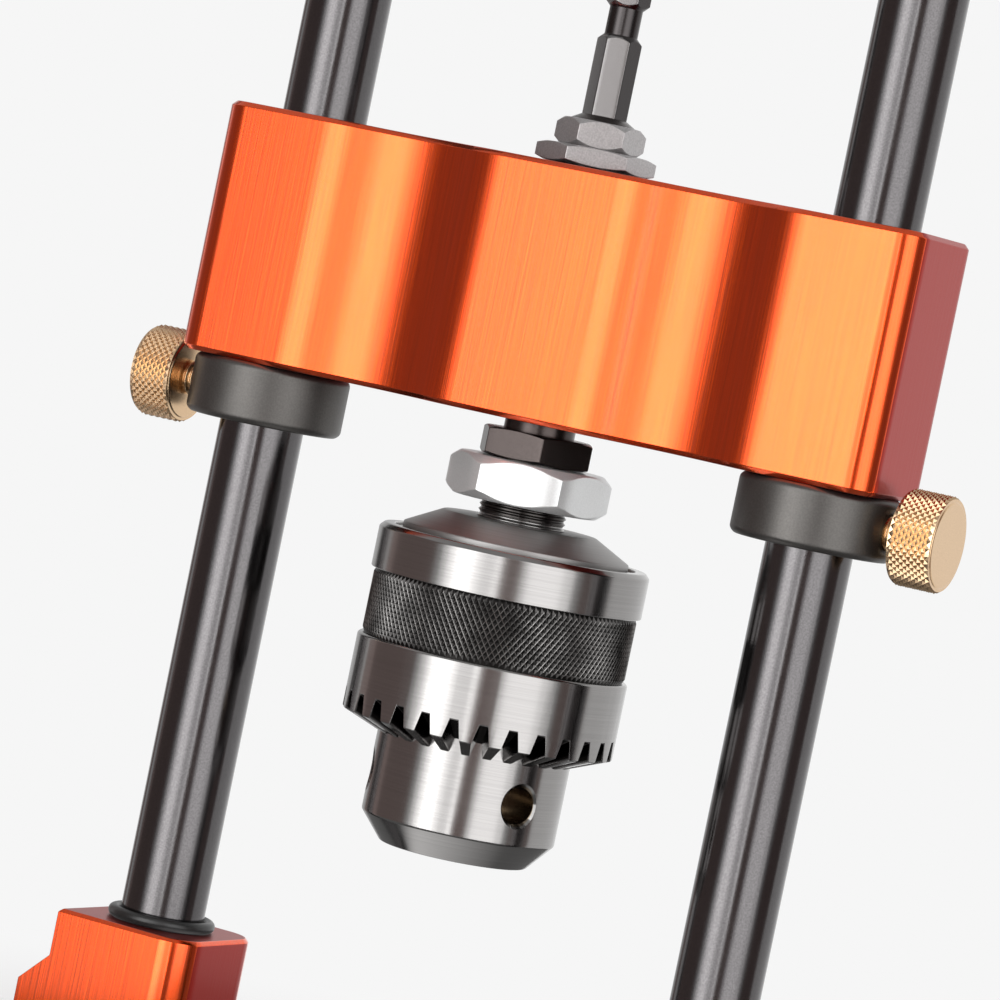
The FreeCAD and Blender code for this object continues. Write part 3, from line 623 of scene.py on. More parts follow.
def brushed(name, color, roughness, brush, line=4, shade=LINE_SHADE, metallic=1.0):
    """Metal with directional machining lines, in microns, and a broad unevenness of gloss."""
    finish = Finish(name, color, roughness, metallic)
    lines = finish.noise(brush, 3)
    finish.vary_roughness(finish.noise(BROAD_CLOUD), roughness * BRUSHED_CLOUD)
    finish.vary_color(lines, shade)
    finish.bump(lines, line * MICRON)
    return finish.material


def grainy(name, color, roughness, metallic=0.0, shade=0.1):
    """A cast, blasted, oxidised or moulded surface with a fine even grain."""
    finish = Finish(name, color, roughness, metallic)
    specks = finish.noise(FINE_GRAIN)
    finish.vary_roughness(finish.noise(BROAD_CLOUD), roughness * GRAINY_CLOUD)
    finish.vary_color(specks, shade)
    finish.bump(specks, GRAIN_RELIEF * MICRON)
    return finish.material


def anodised():
    """Dyed aluminium, brushed upright. The faces that were cut across the profile are duller, and a darker
    red is painted on them as painted shade.
    """
    finish = Finish("anodised_red", DYE, DYE_ROUGHNESS, coat=DYE_COAT)
    hair = finish.noise(UPRIGHT_BRUSH, 3)
    finish.vary_color(hair, HAIR_SHADE)
    finish.bump(hair, HAIR_RELIEF * MICRON)
    finish.bump(finish.noise(BROAD_BRUSH), HAIR_RELIEF * MICRON)
    finish.shader.inputs["Coat Roughness"].default_value = 0.12
    x, y, z = (finish.math("ABSOLUTE", part) for part in finish.facing())
    outside_window = finish.math("GREATER_THAN", finish.radius(), (WORK_WINDOW / 2 + CUT_AND_SHADE_WINDOW) * MM)
    across = finish.math("MAXIMUM", finish.math("MULTIPLY", x, outside_window), z)
    cut_and_shade = finish.math("GREATER_THAN", across, CUT_AND_SHADE_FACING)
    # the carriage's end chamfers are cut faces too and get the same painted shade
    beside = finish.math("LESS_THAN", y, CUT_AND_SHADE_ASIDE)
    on_carriage = finish.math("GREATER_THAN", finish.height(), CARRIAGE_LEVEL)
    cut_and_shade = finish.math("MAXIMUM", cut_and_shade, finish.math("MULTIPLY", beside, on_carriage))
    # painted shade: a darker red on the end, top, bottom and chamfer faces
    finish.mix_color(cut_and_shade, CUT_FACE_PAINTED_SHADE)
    finish.links.new(finish.ramp(cut_and_shade, 0, 1, DYE_COAT, CUT_COAT), finish.shader.inputs["Coat Weight"])
    finish.links.new(finish.ramp(cut_and_shade, 0, 1, DYE_ROUGHNESS, CUT_ROUGHNESS), finish.shader.inputs["Roughness"])
    return finish.material


def make_finishes():
    return {
        "anodised_red": anodised(),
        "black_rod": brushed("black_rod", (0.11, 0.105, 0.107), 0.16, FINE_GRAIN, 5, 0.12),
        "dark_collar": grainy("dark_collar", (0.1, 0.095, 0.09), 0.42, metallic=0.9),
        "brass": brushed("brass", (0.73, 0.51, 0.31), 0.24, FINE_GRAIN, 3),
        "rubber": grainy("rubber", (0.012, 0.012, 0.012), 0.32),
        "screw_steel": grainy("screw_steel", (0.08, 0.08, 0.08), 0.35, metallic=0.9),
        "bronze": brushed("bronze", (0.45, 0.27, 0.12), 0.35, ROUND_TURNING),
        "bearing_steel": brushed("bearing_steel", (0.4, 0.4, 0.4), 0.14, ROUND_TURNING, 1),
        "shank_steel": brushed("shank_steel", (0.27, 0.26, 0.255), 0.2, ROUND_TURNING, 2),
        "turned_steel": brushed("turned_steel", (0.31, 0.3, 0.295), 0.2, ROUND_TURNING, 3),
        "black_oxide": grainy("black_oxide", (0.068, 0.056, 0.053), 0.25, metallic=0.95),
        "bright_zinc": brushed("bright_zinc", (0.68, 0.69, 0.69), 0.32, FINE_GRAIN, 6, 0.05, metallic=0.7),
        "drive_zinc": grainy("drive_zinc", (0.42, 0.405, 0.405), 0.3, metallic=0.84, shade=0.15),
        "chuck_steel": brushed("chuck_steel", STEEL, STEEL_ROUGHNESS, ROUND_TURNING, 2),
        "hard_steel": brushed("hard_steel", (0.27, 0.26, 0.25), 0.25, ROUND_TURNING, 2),
    }


FINISH = make_finishes()


def dress(obj, node, replace=True, slot=None, finish=None):
    """Give a piece its body and its finish, which is its slot's unless one is given, and hide the CAD node
    that it stands for.
    """
    chosen = slot or SLOT[node]
    obj.data.materials.clear()
    obj.data.materials.append(finish or FINISH[chosen])
    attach(obj, BODY[node])
    if replace:
        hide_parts(node)
    return obj


def corner_points(x, y, radius, start, steps=10):
    """A quarter circle about (x, y), from the start angle in degrees."""
    return [(x + radius * math.cos(math.radians(start + 90 * n / steps)),
             y + radius * math.sin(math.radians(start + 90 * n / steps))) for n in range(steps + 1)]


def raised(plan, height):
    return [(x, y, height) for x, y in plan]


def make_base():
    half, depth, top = box("base_block")[1]

    def foot_plan(inset):
        x, y = half - FOOT_CORNER, depth - FOOT_CORNER
        radius = FOOT_CORNER - inset
        return (corner_points(x, y, radius, 0) + corner_points(-x, y, radius, 90)
                + corner_points(-x, -y, radius, 180) + corner_points(x, -y, radius, 270))

    mesh = bmesh.new()
    skin(mesh, [raised(foot_plan(0), 0), raised(foot_plan(0), FOOT_HEIGHT - BASE_CHAMFER),
                raised(foot_plan(BASE_CHAMFER), FOOT_HEIGHT)])
    foot = finished("foot", mesh, SMALL_BEVEL)
    foot.visible_glossy = False  # the chuck mirrors a plain ground in the photo
    above = FOOT_HEIGHT + OVERCUT
    cutters = [plug(WORK_WINDOW / 2, -OVERCUT, above)]
    for x in ROD_X.values():
        cutters += [move(plug(SCREW_SEAT / 2, -OVERCUT, SCREW_SEAT_DEPTH), x=x),
                    move(plug(SCREW_HOLE / 2, SCREW_SEAT_DEPTH - OVERCUT, above), x=x)]
    dress(carve(foot, cutters), "base_block")

    step_top = top - SHOULDER_DROP
    for side, sign in SIDES.items():
        def pillar_plan(outer, inset=0.0):
            """Sharp corners outside, rounded corners towards the drilling axis."""
            inner = half - SHOULDER_STEP - PILLAR_WIDTH + PILLAR_CORNER
            y = PILLAR_DEPTH / 2
            radius = PILLAR_CORNER - inset
            plan = [(outer - inset, -y + inset), (outer - inset, y - inset)]
            plan += corner_points(inner, y - PILLAR_CORNER, radius, 90)
            plan += corner_points(inner, -y + PILLAR_CORNER, radius, 180)
            return [(sign * x, y) for x, y in plan]

        stepped = half - SHOULDER_STEP
        rows = [raised(pillar_plan(half), FOOT_HEIGHT - BASE_CHAMFER),
                raised(pillar_plan(half), step_top - SHOULDER_STEP),
                raised(pillar_plan(stepped), step_top),
                raised(pillar_plan(stepped), top - BASE_CHAMFER),
                raised(pillar_plan(stepped, BASE_CHAMFER), top)]
        mesh = bmesh.new()
        skin(mesh, rows)
        pillar = finished(f"{side}_pillar", mesh, SMALL_BEVEL)
        bore = move(plug(ROD_RADIUS + TIGHT, FOOT_HEIGHT - 2 * OVERCUT, top + OVERCUT), x=ROD_X[side])
        pillar.visible_glossy = False
        dress(carve(pillar, [bore]), "base_block")


def make_rods():
    for side, (low, high) in ROD_BOX.items():
        edge = ROD_RADIUS - ROD_CHAMFER
        rod = lathe(f"{side}_rod_bar", [
            (0, low.z), (edge, low.z), (ROD_RADIUS, low.z + ROD_CHAMFER),
            (ROD_RADIUS, high.z - ROD_CHAMFER), (edge, high.z), (0, high.z)], 0.3)
        dress(move(rod, x=ROD_X[side]), f"{side}_rod")
        low, high = box(f"{side}_rod_ring")
        section = (high.z - low.z) / 2
        mid = (high.x - low.x) / 2 - section
        profile = [(mid + r, h) for r, h, _ in circle(section, 0, 24)]
        mesh = bmesh.new()
        skin(mesh, [circle(r, h, 96) for r, h in profile], closed=True)
        ring = move(finished(f"{side}_o_ring", mesh), x=ROD_X[side], z=low.z + section)
        dress(ring, f"{side}_rod_ring")


def make_depth_stops():
    for side, sign in SIDES.items():
        low, high = box(f"{side}_collar")
        x = ROD_X[side]
        radius = (high.x - low.x) / 2
        bore = ROD_RADIUS + CLEARANCE
        rim = radius - COLLAR_CHAMFER
        height = high.z - low.z
        collar = lathe(f"{side}_stop_collar", [
            (bore, 0), (rim, 0), (radius, COLLAR_CHAMFER), (radius, height - COLLAR_CHAMFER),
            (rim, height), (bore, height)], 0.5)
        head_low, head_high = box(f"{side}_thumbscrew")
        head_radius = (head_high.y - head_low.y) / 2
        thread = plug(THREAD_RADIUS + CLEARANCE, THREAD_HOLE_START, radius + 2 * OVERCUT)
        thread = move(thread, z=height / 2, tilt=sign * 90)
        dress(move(carve(collar, [thread]), x=x, z=low.z), f"{side}_collar")

        end = max(abs(head_high.x - x), abs(head_low.x - x))
        start = end - HEAD_LENGTH
        inner = radius - THREAD_HIDDEN
        turns = int((start - inner) / THREAD_PITCH)
        core = THREAD_RADIUS - THREAD_DEPTH
        profile = [(0, bore), (THREAD_RADIUS, bore), (THREAD_RADIUS, inner)]
        for turn in range(turns):
            at = inner + turn * THREAD_PITCH
            floor, rise, crest = (at + share * THREAD_PITCH for share in THREAD_GROOVE)
            profile += [(core, floor), (core, rise), (THREAD_RADIUS, crest)]
        grip = head_radius - KNURL_RELIEF
        profile += [(core, start - THREAD_NECK), (core, start), (grip - HEAD_CHAMFER, start),
                    (grip, start + HEAD_CHAMFER), (grip, end - HEAD_CHAMFER),
                    (grip - HEAD_CHAMFER, end), (0, end)]
        screw = lathe(f"{side}_thumbscrew_body", profile, SMALL_BEVEL, 96)
        middle = low.z + height / 2
        dress(move(screw, x=x, z=middle, tilt=sign * 90), f"{side}_thumbscrew")
        band = knurl(f"{side}_thumbscrew_knurl", head_radius, HEAD_KNURL_DEPTH, start + HEAD_KNURL_EDGE,
                     end - HEAD_KNURL_EDGE, HEAD_KNURL_PITCH, HEAD_KNURL_PITCH, KNURL_WALL)
        dress(move(band, x=x, z=middle, tilt=sign * 90), f"{side}_thumbscrew")


def scalloped_plan(half_length, half_depth, inset):
    """Long sides of pads joined by tangent arcs, and rounded ends, moved inwards by the inset."""
    turn = math.asin(SCALLOP_REACH / (CREST_RADIUS + VALLEY_RADIUS))
    crest_x = CREST_RADIUS * math.sin(turn)
    crest_drop = CREST_RADIUS * (1 - math.cos(turn))
    valley_x = crest_x + VALLEY_RADIUS * math.sin(turn)
    valley_drop = crest_drop + VALLEY_RADIUS * (1 - math.cos(turn))

    def scallop(start):
        """Crest, valley and crest, from a pad's end. Each point is (x, drop)."""
        points = []
        for n in range(SCALLOP_STEPS + 1):
            a = turn * n / SCALLOP_STEPS
            r = CREST_RADIUS - inset
            points.append((start + r * math.sin(a), CREST_RADIUS - r * math.cos(a)))
        for n in range(1, 2 * SCALLOP_STEPS):
            a = turn * (1 - n / SCALLOP_STEPS)
            r = VALLEY_RADIUS + inset
            points.append((start + valley_x - r * math.sin(a),
                           valley_drop - VALLEY_RADIUS + r * math.cos(a)))
        crest = points[:SCALLOP_STEPS + 1]
        return points + [(2 * (start + valley_x) - x, drop) for x, drop in crest[::-1]]

    front = scallop(-SCALLOP_CENTER - SCALLOP_REACH) + scallop(SCALLOP_CENTER - SCALLOP_REACH)
    corner_x, corner_y = half_length - CARRIAGE_CORNER, half_depth - CARRIAGE_CORNER
    radius = CARRIAGE_CORNER - inset
    plan = [(x, drop - half_depth) for x, drop in front]
    plan += corner_points(corner_x, -corner_y, radius, 270) + corner_points(corner_x, corner_y, radius, 0)
    plan += [(-x, half_depth - drop) for x, drop in front]
    plan += corner_points(-corner_x, corner_y, radius, 90) + corner_points(-corner_x, -corner_y, radius, 180)
    return plan


def make_carriage():
    low, high = box("carriage")
    outline = scalloped_plan(high.x, high.y, 0)
    inner = scalloped_plan(high.x, high.y, CARRIAGE_CHAMFER)
    mesh = bmesh.new()
    skin(mesh, [raised(inner, low.z), raised(outline, low.z + CARRIAGE_CHAMFER),
                raised(outline, high.z - CARRIAGE_CHAMFER), raised(inner, high.z)])
    block = finished("carriage_block", mesh, 0.12)
    bores = low.z - OVERCUT, high.z + OVERCUT
    cutters = [plug(half_width("lower_outer_race"), *bores)]
    cutters += [move(plug(half_width("lower_left_bush"), *bores), x=x) for x in ROD_X.values()]
    dress(carve(block, cutters), "carriage")
    for level in LEVELS:
        for side in SIDES:
            node = f"{level}_{side}_bush"
            low, high = box(node)
            ring = washer(f"{node}_ring", ROD_RADIUS + CLEARANCE, half_width(node), low.z, high.z, 0.4)
            dress(move(ring, x=ROD_X[side]), node)


def make_spindle_parts():
    low, high = box("top_washer")
    ring = washer("washer_ring", SPINDLE_BORE, half_width("top_washer"), low.z, high.z, SMALL_BEVEL)
    dress(ring, "top_washer")
    low, high = box("top_locknut")
    locknut = nut("thin_nut", LOCKNUT_WIDTH, low.z, high.z, LOCKNUT_BORE, LOCKNUT_DROP, LOCKNUT_TURN)
    dress(locknut, "top_locknut", finish=FINISH["drive_zinc"])

    low, high = box("jam_nut")
    neck_low = low.z + JAM_NUT_HEIGHT
    black_nut = nut("black_nut", JAM_NUT_WIDTH, low.z, neck_low, SPINDLE_BORE, JAM_NUT_DROP, JAM_NUT_TURN)
    dress(black_nut, "jam_nut")
    neck_low -= JAM_NECK_OVERLAP
    dress(washer("black_nut_neck", SPINDLE_BORE, JAM_NECK_RADIUS, neck_low, high.z, 0.2), "jam_nut")

    low, high = box("ejector_nut")
    dress(nut("zinc_nut", EJECTOR_WIDTH, low.z, high.z, EJECTOR_BORE, EJECTOR_DROP, EJECTOR_TURN,
              EJECTOR_CROWN, 0.2), "ejector_nut")
    make_shank()
    make_stem()


def stem_finish(shadow_low):
    """Turned steel below, and painted shadow of the zinc nut on the thread from just under the nut upwards.
    """
    finish = Finish("stem_steel", STEEL, 0.22)
    finish.bump(finish.noise(ROUND_TURNING, 3), 2 * MICRON)
    nut_shadow_share = finish.math("GREATER_THAN", finish.height(), shadow_low * MM)
    # painted shadow: the thread goes dark from just under the zinc nut upwards
    finish.mix_color(nut_shadow_share, NUT_PAINTED_SHADOW)
    return finish.material


def make_stem():
    """The arbor: a cone in the chuck, and grooves up to the zinc nut."""
    low, high = box("arbor")
    nut_low = box("ejector_nut")[0].z
    body_top = box("chuck_body")[1].z
    radius = half_width("arbor")
    core = radius - STEM_GROOVE
    profile = [(STEM_BORE, low.z), (STEM_FOOT, low.z), (STEM_SHOULDER, body_top),
               (radius, body_top + CLEARANCE)]
    for n in reversed(range(int((nut_low - body_top) / STEM_PITCH))):
        at = nut_low - (n + 1) * STEM_PITCH
        profile += [(radius, at)] + [(core, at + share * STEM_PITCH) for share in STEM_FLANKS]
        profile += [(radius, at + STEM_PITCH)]
    profile += [(radius, high.z), (STEM_BORE, high.z)]
    stem = lathe("threaded_stem", profile, 0.1)
    dress(stem, "arbor", finish=stem_finish(nut_low - NUT_SHADOW_REACH))


def shank_finish():
    """Black bar, with a lighter grey painted on the two flats that face the front as painted highlight."""
    finish = Finish("bar_with_painted_highlight", BLACK_BAR, 0.25)
    finish.bump(finish.noise(ROUND_TURNING, 3), 4 * MICRON)
    x, y, _ = finish.facing()
    azimuth = math.radians(SHANK_HIGHLIGHT_TURN)
    front = finish.math("MULTIPLY_ADD", x, math.cos(azimuth), finish.math("MULTIPLY", y, math.sin(azimuth)))
    # painted highlight: the flats that face the front are marked by their direction
    flat = finish.math("GREATER_THAN", front, HIGHLIGHT_FACING)
    wide = finish.math("GREATER_THAN", finish.radius(), (SHANK_GROOVE + 0.3) * MM)
    finish.mix_color(finish.math("MULTIPLY", flat, wide), FLAT_PAINTED_HIGHLIGHT)
    return finish.material


def make_shank():
    """From below: a nut-like collar, a flare, a bar, a groove and the bar's end."""
    top = box("drive_shank")[1].z
    groove_end = top - SHANK_END_LENGTH
    groove_start = groove_end - SHANK_GROOVE_LENGTH
    flare_top = groove_start - SHANK_LENGTH
    start = flare_top - SHANK_FLARE_HEIGHT
    corner = SHANK_WIDTH / math.sqrt(3)
    ease = corner - SHANK_GROOVE
    collar = nut("shank_collar", SHANK_NUT_WIDTH, start - SHANK_NUT_HEIGHT, start, 0, SHANK_NUT_DROP,
                 LOCKNUT_TURN)
    dress(collar, "drive_shank", finish=FINISH["drive_zinc"])
    flare = lathe("shank_flare", [
        (0, start - SHANK_OVERLAP), (SHANK_FLARE, start - SHANK_OVERLAP), (SHANK_FLARE, start),
        (corner, flare_top), (0, flare_top)], SMALL_BEVEL, 96)
    dress(flare, "drive_shank", finish=FINISH["black_oxide"])
    cone = (SHANK_GROOVE, 1.0)
    rows = hex_rows(SHANK_WIDTH, start, groove_start + ease, (SHANK_GROOVE, 0.0), cone)
    rows += hex_rows(SHANK_WIDTH, groove_end - ease, top, cone, cone)
    mesh = bmesh.new()
    skin(mesh, rows)
    bar = move(finished("hexagonal_bar", mesh, 0.1, NUT_BEVEL_ANGLE), turn=SHANK_TURN)
    dress(bar, "drive_shank", finish=shank_finish())


def barrel_finish(bottom):
    """Ground steel with a satin cap and brown key holes."""
    finish = turned("barrel_steel", STEEL, STEEL_ROUGHNESS)
    inner = finish.math("LESS_THAN", finish.radius(), (BODY_RADIUS - KEY_RIM / 2) * MM)
    level = finish.math("COMPARE", finish.height(), (bottom + KEY_HEIGHT) * MM, (KEY_RADIUS + 1) * MM)
    finish.mix_color(finish.math("MULTIPLY", inner, level), KEY_HOLE_BROWN)
    cap = finish.math("GREATER_THAN", finish.height(), (bottom + FLANGE[1] - 0.5) * MM)
    satin = finish.math("LESS_THAN", finish.radius(), (CAP_RADIUS + 0.5) * MM)
    low, high = STEEL_ROUGHNESS - STEEL_CLOUD, STEEL_ROUGHNESS + STEEL_CLOUD
    cloud = finish.spread(finish.noise(BROAD_CLOUD), low, high)
    gloss = finish.math("MULTIPLY_ADD", finish.math("MULTIPLY", cap, satin), SATIN_EXTRA, cloud)
    finish.links.new(gloss, finish.shader.inputs["Roughness"])
    return finish.material


def make_chuck_body():
    bottom = box("chuck_body")[0].z
    low_groove, high_groove = NUT_GROOVE
    flange_low, flange_top = FLANGE
    socket = CAP_TOP - STEM_SOCKET_DEPTH
    # short rows, so that the cells round the key holes stay small
    rise = low_groove - NOSE_TAPER
    walls = [(BODY_RADIUS, NOSE_TAPER + rise * n / BODY_ROWS) for n in range(BODY_ROWS + 1)]
    profile = [(MOUTH_RADIUS, 0), (NOSE_RADIUS, 0)] + walls + [
        (NUT_GROOVE_RADIUS, low_groove), (NUT_GROOVE_RADIUS, high_groove), (SEAT_RADIUS, high_groove),
        (SEAT_RADIUS, flange_low), (FLANGE_RADIUS, flange_low), (FLANGE_RADIUS, flange_top - FLANGE_CHAMFER),
        (FLANGE_RADIUS - FLANGE_CHAMFER, flange_top), (CAP_GROOVE_RADIUS, flange_top),
        (CAP_GROOVE_RADIUS, flange_top - CAP_GROOVE_DEPTH), (CAP_RADIUS, flange_top - CAP_GROOVE_DEPTH),
        (CAP_RADIUS, flange_top + CAP_RIM), (CAP_TOP_RADIUS, CAP_TOP), (STEM_SOCKET, CAP_TOP),
        (STEM_SOCKET, socket), (MOUTH_RADIUS, socket)]
    body = finished("chuck_barrel", lathe_mesh(profile, 0.25, 192))
    outside = BODY_RADIUS + OVERCUT
    cutters = []
    for n in range(3):
        around = KEY_TURN + 120 * n
        key_place = turning(around, "Z") @ Matrix.Translation((0, 0, KEY_HEIGHT * MM)) @ turning(90, "Y")
        jaw_place = (turning(around + JAW_TURN, "Z") @ Matrix.Translation((JAW_OFFSET * MM, 0, 0))
                     @ turning(JAW_ANGLE, "Y"))
        hole = plug(KEY_RADIUS, BODY_RADIUS - KEY_DEPTH, outside)
        rim = plug(KEY_RADIUS, BODY_RADIUS - KEY_RIM, outside, radius_high=KEY_RADIUS + KEY_RIM + OVERCUT)
        jaw = plug(JAW_RADIUS, JAW_REACH[0], low_groove + JAW_REACH[1])
        for cutter, place in ((hole, key_place), (rim, key_place), (jaw, jaw_place)):
            cutter.data.transform(place)
            cutters.append(cutter)
    barrel = sharpen(carve(body, cutters), SHARP_RIM)
    dress(move(barrel, z=bottom), "chuck_body", finish=barrel_finish(bottom))


def gear_finish(bottom):
    """Ground steel with black in its tooth gaps, growing with their depth."""
    finish = turned("gear_steel", STEEL, STEEL_ROUGHNESS)
    finish.vary_roughness(finish.noise(BROAD_CLOUD), STEEL_ROUGHNESS * BRUSHED_CLOUD)
    radius = finish.radius()
    height = finish.height()
    # height above the cone that the tooth tips lie on
    slope = (GEAR_BOTTOM - KEY_HEIGHT) / GEAR_RADIUS
    cone = finish.math("MULTIPLY_ADD", radius, -slope, -(bottom + KEY_HEIGHT) * MM)
    inside = finish.ramp(finish.math("ADD", height, cone), *(depth * MM for depth in GAP_SHADE))
    behind = finish.ramp(radius, *((GEAR_RADIUS - depth) * MM for depth in GAP_BEHIND))
    below = finish.math("LESS_THAN", height, (bottom + GEAR_BOTTOM + TOOTH_DEPTH + GAP_ABOVE) * MM)
    share = finish.math("MULTIPLY", finish.math("MULTIPLY", inside, behind), below)
    finish.mix_color(share, TOOTH_GAP_BLACK)
    return finish.material


def knurl_finish():
    """Blackened steel, with a lighter colour painted along the ridges of the knurl as painted highlight, made
    uneven by a noise.
    """
    finish = Finish("black_knurl", KNURL_BLACK, 0.32)
    ridge_highlight = finish.ramp(finish.radius(), *((KNURL_RADIUS - depth) * MM for depth in RIDGE_HIGHLIGHT_REACH))
    highlight_spread = finish.spread(finish.noise(HIGHLIGHT_CLOUD), 0.15, 1)
    # painted highlight along the knurl's ridges
    finish.mix_color(finish.math("MULTIPLY", ridge_highlight, highlight_spread), KNURL_PAINTED_HIGHLIGHT)
    finish.bump(finish.noise(FINE_GRAIN), 8 * MICRON)
    return finish.material


def make_sleeve():
    """Bevel teeth below, a plain band, and a knurled band above."""
    bottom = box("chuck_body")[0].z
    top = box("chuck_sleeve")[1].z - bottom
    bore = BODY_RADIUS + SLEEVE_GAP
    root = GEAR_BOTTOM + TOOTH_DEPTH
    seat = NUT_GROOVE[0] + SLEEVE_GAP
    pitch = 2 * math.pi / TEETH
    tip_half = (pitch - GAP_TIP / GEAR_RADIUS) / 2
    root_half = (pitch - GAP_ROOT / GEAR_RADIUS) / 2
    columns = [(-root_half, root), (-tip_half, GEAR_BOTTOM), (-tip_half / 3, GEAR_BOTTOM),
               (tip_half / 3, GEAR_BOTTOM), (tip_half, GEAR_BOTTOM), (root_half, root)]
    start = math.radians(TOOTH_TURN) + pitch / 2
    edge = [(start + pitch * n + angle, height) for n in range(TEETH) for angle, height in columns]

    def ring(radius, heights):
        return [(radius * math.cos(a), radius * math.sin(a), h) for (a, _), h in zip(edge, heights)]

    def level(radius, height):
        return ring(radius, [height] * len(edge))

    share = bore / GEAR_RADIUS
    outer_edge = [height for _, height in edge]
    inner_edge = [KEY_HEIGHT + (height - KEY_HEIGHT) * share for height in outer_edge]
    core = KNURL_RADIUS - KNURL_CORE
    rows = [ring(bore, inner_edge), ring(GEAR_RADIUS, outer_edge), level(GEAR_RADIUS, root),
            level(GEAR_RADIUS, GEAR_TOP - GEAR_CHAMFER), level(GEAR_RADIUS - GEAR_CHAMFER, GEAR_TOP),
            level(core, GEAR_TOP), level(core, top), level(SLEEVE_INSIDE, top),
            level(SLEEVE_INSIDE, seat), level(bore, seat)]
    mesh = bmesh.new()
    skin(mesh, rows, closed=True)
    bmesh.ops.dissolve_degenerate(mesh, dist=DEGENERATE, edges=mesh.edges)
    gear = finished("gear_sleeve", mesh, 0.14, 28)
    dress(move(gear, z=bottom), "chuck_sleeve", finish=gear_finish(bottom))
    band = knurl("sleeve_knurl", KNURL_RADIUS, BAND_DEPTH, GEAR_TOP + TIGHT, top, *BAND_PITCH, KNURL_WALL,
                 ridged=True)
    dress(move(band, z=bottom), "chuck_sleeve", slot="black_oxide", finish=knurl_finish())


def dress_rest():
    """The inner pieces keep their CAD form and get the finish of their slot."""
    for node, obj in frame["nodes"].items():
        obj.data.materials.clear()
        obj.data.materials.append(FINISH[SLOT[node]])


# Stage: a pale floor and backdrop, a ring of bright and dark panels, and dim cards above and below. In metres

BACKDROP = 0.9216
WHITE = (1, 1, 1)
CAMERA_AZIMUTH = 25.73
CAMERA_PLACE = (0.34164, -0.71809, 0.15566)
CAMERA_PITCH = 2.47
CAMERA_ROLL = 11.655
CAMERA_LENS = 177.83
CAMERA_SENSOR = 36
CAMERA_CLIP = (0.05, 50)
PANEL_DISTANCE = 0.9
PANEL_HEIGHTS = (-0.5, 0.9)
PANEL_STEP = 4
# each panel is (from, to, brightness), in degrees to the right of the camera as the object sees it
PANELS = [
    (-178, -150, 0.6), (-150, -136, 0.23), (-136, -124, 0.75), (-124, -114, 0.35),
    (-114, -66, 0.2), (-66, -60, 0.5), (-60, -54, 1.5), (-54, -48, 2.9),
    (-48, -30, 4.2), (-30, -24, 2.9), (-24, -13, 2.1), (-13, -8, 3.6), (-7.5, 8.5, 0.27),
    (9, 14, 1.6), (14, 44, 2.7), (44, 54, 2.0), (54, 61, 0.45), (61, 92, 0.18), (93, 178, 0.95),
]
WARM_DARK = (1.2, 0.93, 0.88)
DARK_LEVEL = 0.4
CEILING_HEIGHT = 0.95
CEILING_RADIUS = 0.95
CEILING_LEVEL = 0.5
GROUND_HEIGHT = 0.0005
GROUND_RADIUS = 0.2
GROUND_LEVEL = 0.2
# the ground's level at a place to the left and at one to the right of the chuck, and where it fades
GROUND_SHADE = ((-0.03, 1.35), (0.045, 0.22))
GROUND_EDGE = (0.035, 0.055)
FLOOR_REACH = 6.0
FLOOR_GRAY = 0.88
FLOOR_ROUGHNESS = 0.9
FLOOR_FADE = (0.13, 0.26)


def emission(name, level, tint=WHITE):
    material = bpy.data.materials.new(name)
    material.use_nodes = True
    nodes, links = material.node_tree.nodes, material.node_tree.links
    nodes.clear()
    glow = nodes.new("ShaderNodeEmission")
    glow.inputs["Color"].default_value = (*tint, 1)
    glow.inputs["Strength"].default_value = level
    links.new(glow.outputs[0], nodes.new("ShaderNodeOutputMaterial").inputs["Surface"])
    return material


def sheet(name, faces, material):
    """A flat or bent card of the stage. Each face is a list of points, in metres."""
    mesh = bmesh.new()
    for points in faces:
        mesh.faces.new([mesh.verts.new(p) for p in points])
    data = bpy.data.meshes.new(name)
    mesh.to_mesh(data)
    mesh.free()
    data.materials.append(material)
    obj = bpy.data.objects.new(name, data)
    bpy.context.scene.collection.objects.link(obj)
    return obj


def make_panels():
    for n, (start, end, level) in enumerate(PANELS):
        steps = max(2, round((end - start) / PANEL_STEP))
        low, high = [], []
        for step in range(steps + 1):
            azimuth = math.radians(CAMERA_AZIMUTH + start + (end - start) * step / steps)
            x, y = PANEL_DISTANCE * math.sin(azimuth), -PANEL_DISTANCE * math.cos(azimuth)
            low.append((x, y, PANEL_HEIGHTS[0]))
            high.append((x, y, PANEL_HEIGHTS[1]))
        faces = [(low[k], low[k + 1], high[k + 1], high[k]) for k in range(steps)]
        tint = WARM_DARK if level < DARK_LEVEL else WHITE
        panel = sheet(f"panel_{n}", faces, emission(f"panel_{n}", level, tint))
        panel.visible_camera = False
        panel.visible_shadow = False


def disc(name, radius, height, material):
    """A dim round card that only the mirroring metal sees."""
    card = sheet(name, [circle(radius, height, 48)], material)
    card.visible_camera = False
    card.visible_shadow = False
    card.visible_diffuse = False


def make_ceiling():
    disc("ceiling", CEILING_RADIUS, CEILING_HEIGHT, emission("ceiling", CEILING_LEVEL))


def make_ground():
    """What the metal mirrors below: shaded from left to right under the chuck, dim farther out."""
    material = emission("ground", 1)
    tree = material.node_tree
    (left, left_level), (right, right_level) = GROUND_SHADE
    azimuth = math.radians(CAMERA_AZIMUTH)
    place = tree.nodes.new("ShaderNodeTexCoord").outputs["Object"]
    rightwards = measure(tree, "DOT_PRODUCT", place, (math.cos(azimuth), math.sin(azimuth), 0))
    shade = ramp(tree, rightwards, left, right, left_level, right_level)
    level = ramp(tree, measure(tree, "LENGTH", place), *GROUND_EDGE, shade, GROUND_LEVEL, smooth=True)
    tree.links.new(level, tree.nodes["Emission"].inputs["Strength"])
    disc("ground", GROUND_RADIUS, GROUND_HEIGHT, material)


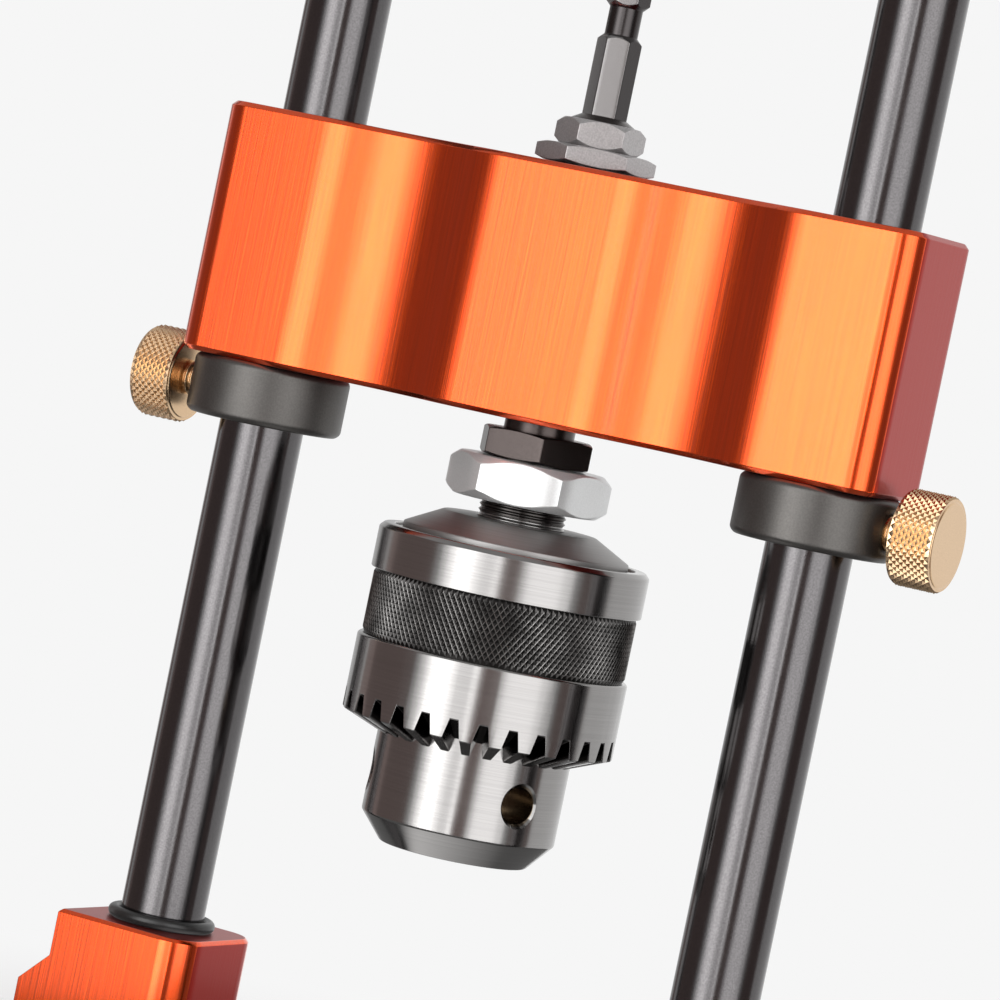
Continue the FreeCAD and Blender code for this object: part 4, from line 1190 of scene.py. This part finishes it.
def make_floor():
    """A pale floor that keeps the shadow and, to the camera, fades into the backdrop."""
    material = bpy.data.materials.new("pale_floor")
    material.use_nodes = True
    tree = material.node_tree
    shader = tree.nodes["Principled BSDF"]
    shader.inputs["Base Color"].default_value = (FLOOR_GRAY, FLOOR_GRAY, FLOOR_GRAY, 1)
    shader.inputs["Roughness"].default_value = FLOOR_ROUGHNESS
    shader.inputs["Specular IOR Level"].default_value = 0.0
    glow = tree.nodes.new("ShaderNodeEmission")
    glow.inputs["Color"].default_value = (BACKDROP, BACKDROP, BACKDROP, 1)
    place = tree.nodes.new("ShaderNodeTexCoord").outputs["Object"]
    fade = ramp(tree, measure(tree, "LENGTH", place), *FLOOR_FADE, smooth=True)
    share = tree.nodes.new("ShaderNodeMath")
    share.operation = "MULTIPLY"
    tree.links.new(fade, share.inputs[0])
    tree.links.new(tree.nodes.new("ShaderNodeLightPath").outputs["Is Camera Ray"], share.inputs[1])
    mix = tree.nodes.new("ShaderNodeMixShader")
    tree.links.new(share.outputs[0], mix.inputs["Fac"])
    tree.links.new(shader.outputs[0], mix.inputs[1])
    tree.links.new(glow.outputs[0], mix.inputs[2])
    tree.links.new(mix.outputs[0], tree.nodes["Material Output"].inputs["Surface"])
    corners = [(x * FLOOR_REACH, y * FLOOR_REACH, 0) for x, y in ((-1, -1), (1, -1), (1, 1), (-1, 1))]
    floor = sheet("floor", [corners], material)
    floor.visible_glossy = False


def make_world():
    world = bpy.data.worlds.new("studio")
    world.use_nodes = True
    background = world.node_tree.nodes["Background"]
    background.inputs["Color"].default_value = (BACKDROP, BACKDROP, BACKDROP, 1)
    background.inputs["Strength"].default_value = 1.0
    bpy.context.scene.world = world


def make_camera():
    camera = bpy.data.objects.new("camera", bpy.data.cameras.new("camera"))
    bpy.context.scene.collection.objects.link(camera)
    yaw, pitch = math.radians(CAMERA_AZIMUTH), math.radians(CAMERA_PITCH)
    forward = Vector((-math.sin(yaw) * math.cos(pitch), math.cos(yaw) * math.cos(pitch), -math.sin(pitch)))
    aim = forward.to_track_quat("-Z", "Y").to_matrix().to_4x4()
    camera.matrix_world = Matrix.Translation(CAMERA_PLACE) @ aim @ turning(CAMERA_ROLL, "Z")
    camera.data.sensor_width = CAMERA_SENSOR
    camera.data.lens = CAMERA_LENS
    camera.data.clip_start, camera.data.clip_end = CAMERA_CLIP
    bpy.context.scene.camera = camera


dress_rest()
make_base()
make_rods()
make_depth_stops()
make_carriage()
make_spindle_parts()
make_chuck_body()
make_sleeve()
make_panels()
make_ceiling()
make_ground()
make_floor()
make_world()
make_camera()

bpy.context.scene.view_settings.view_transform = "Standard"
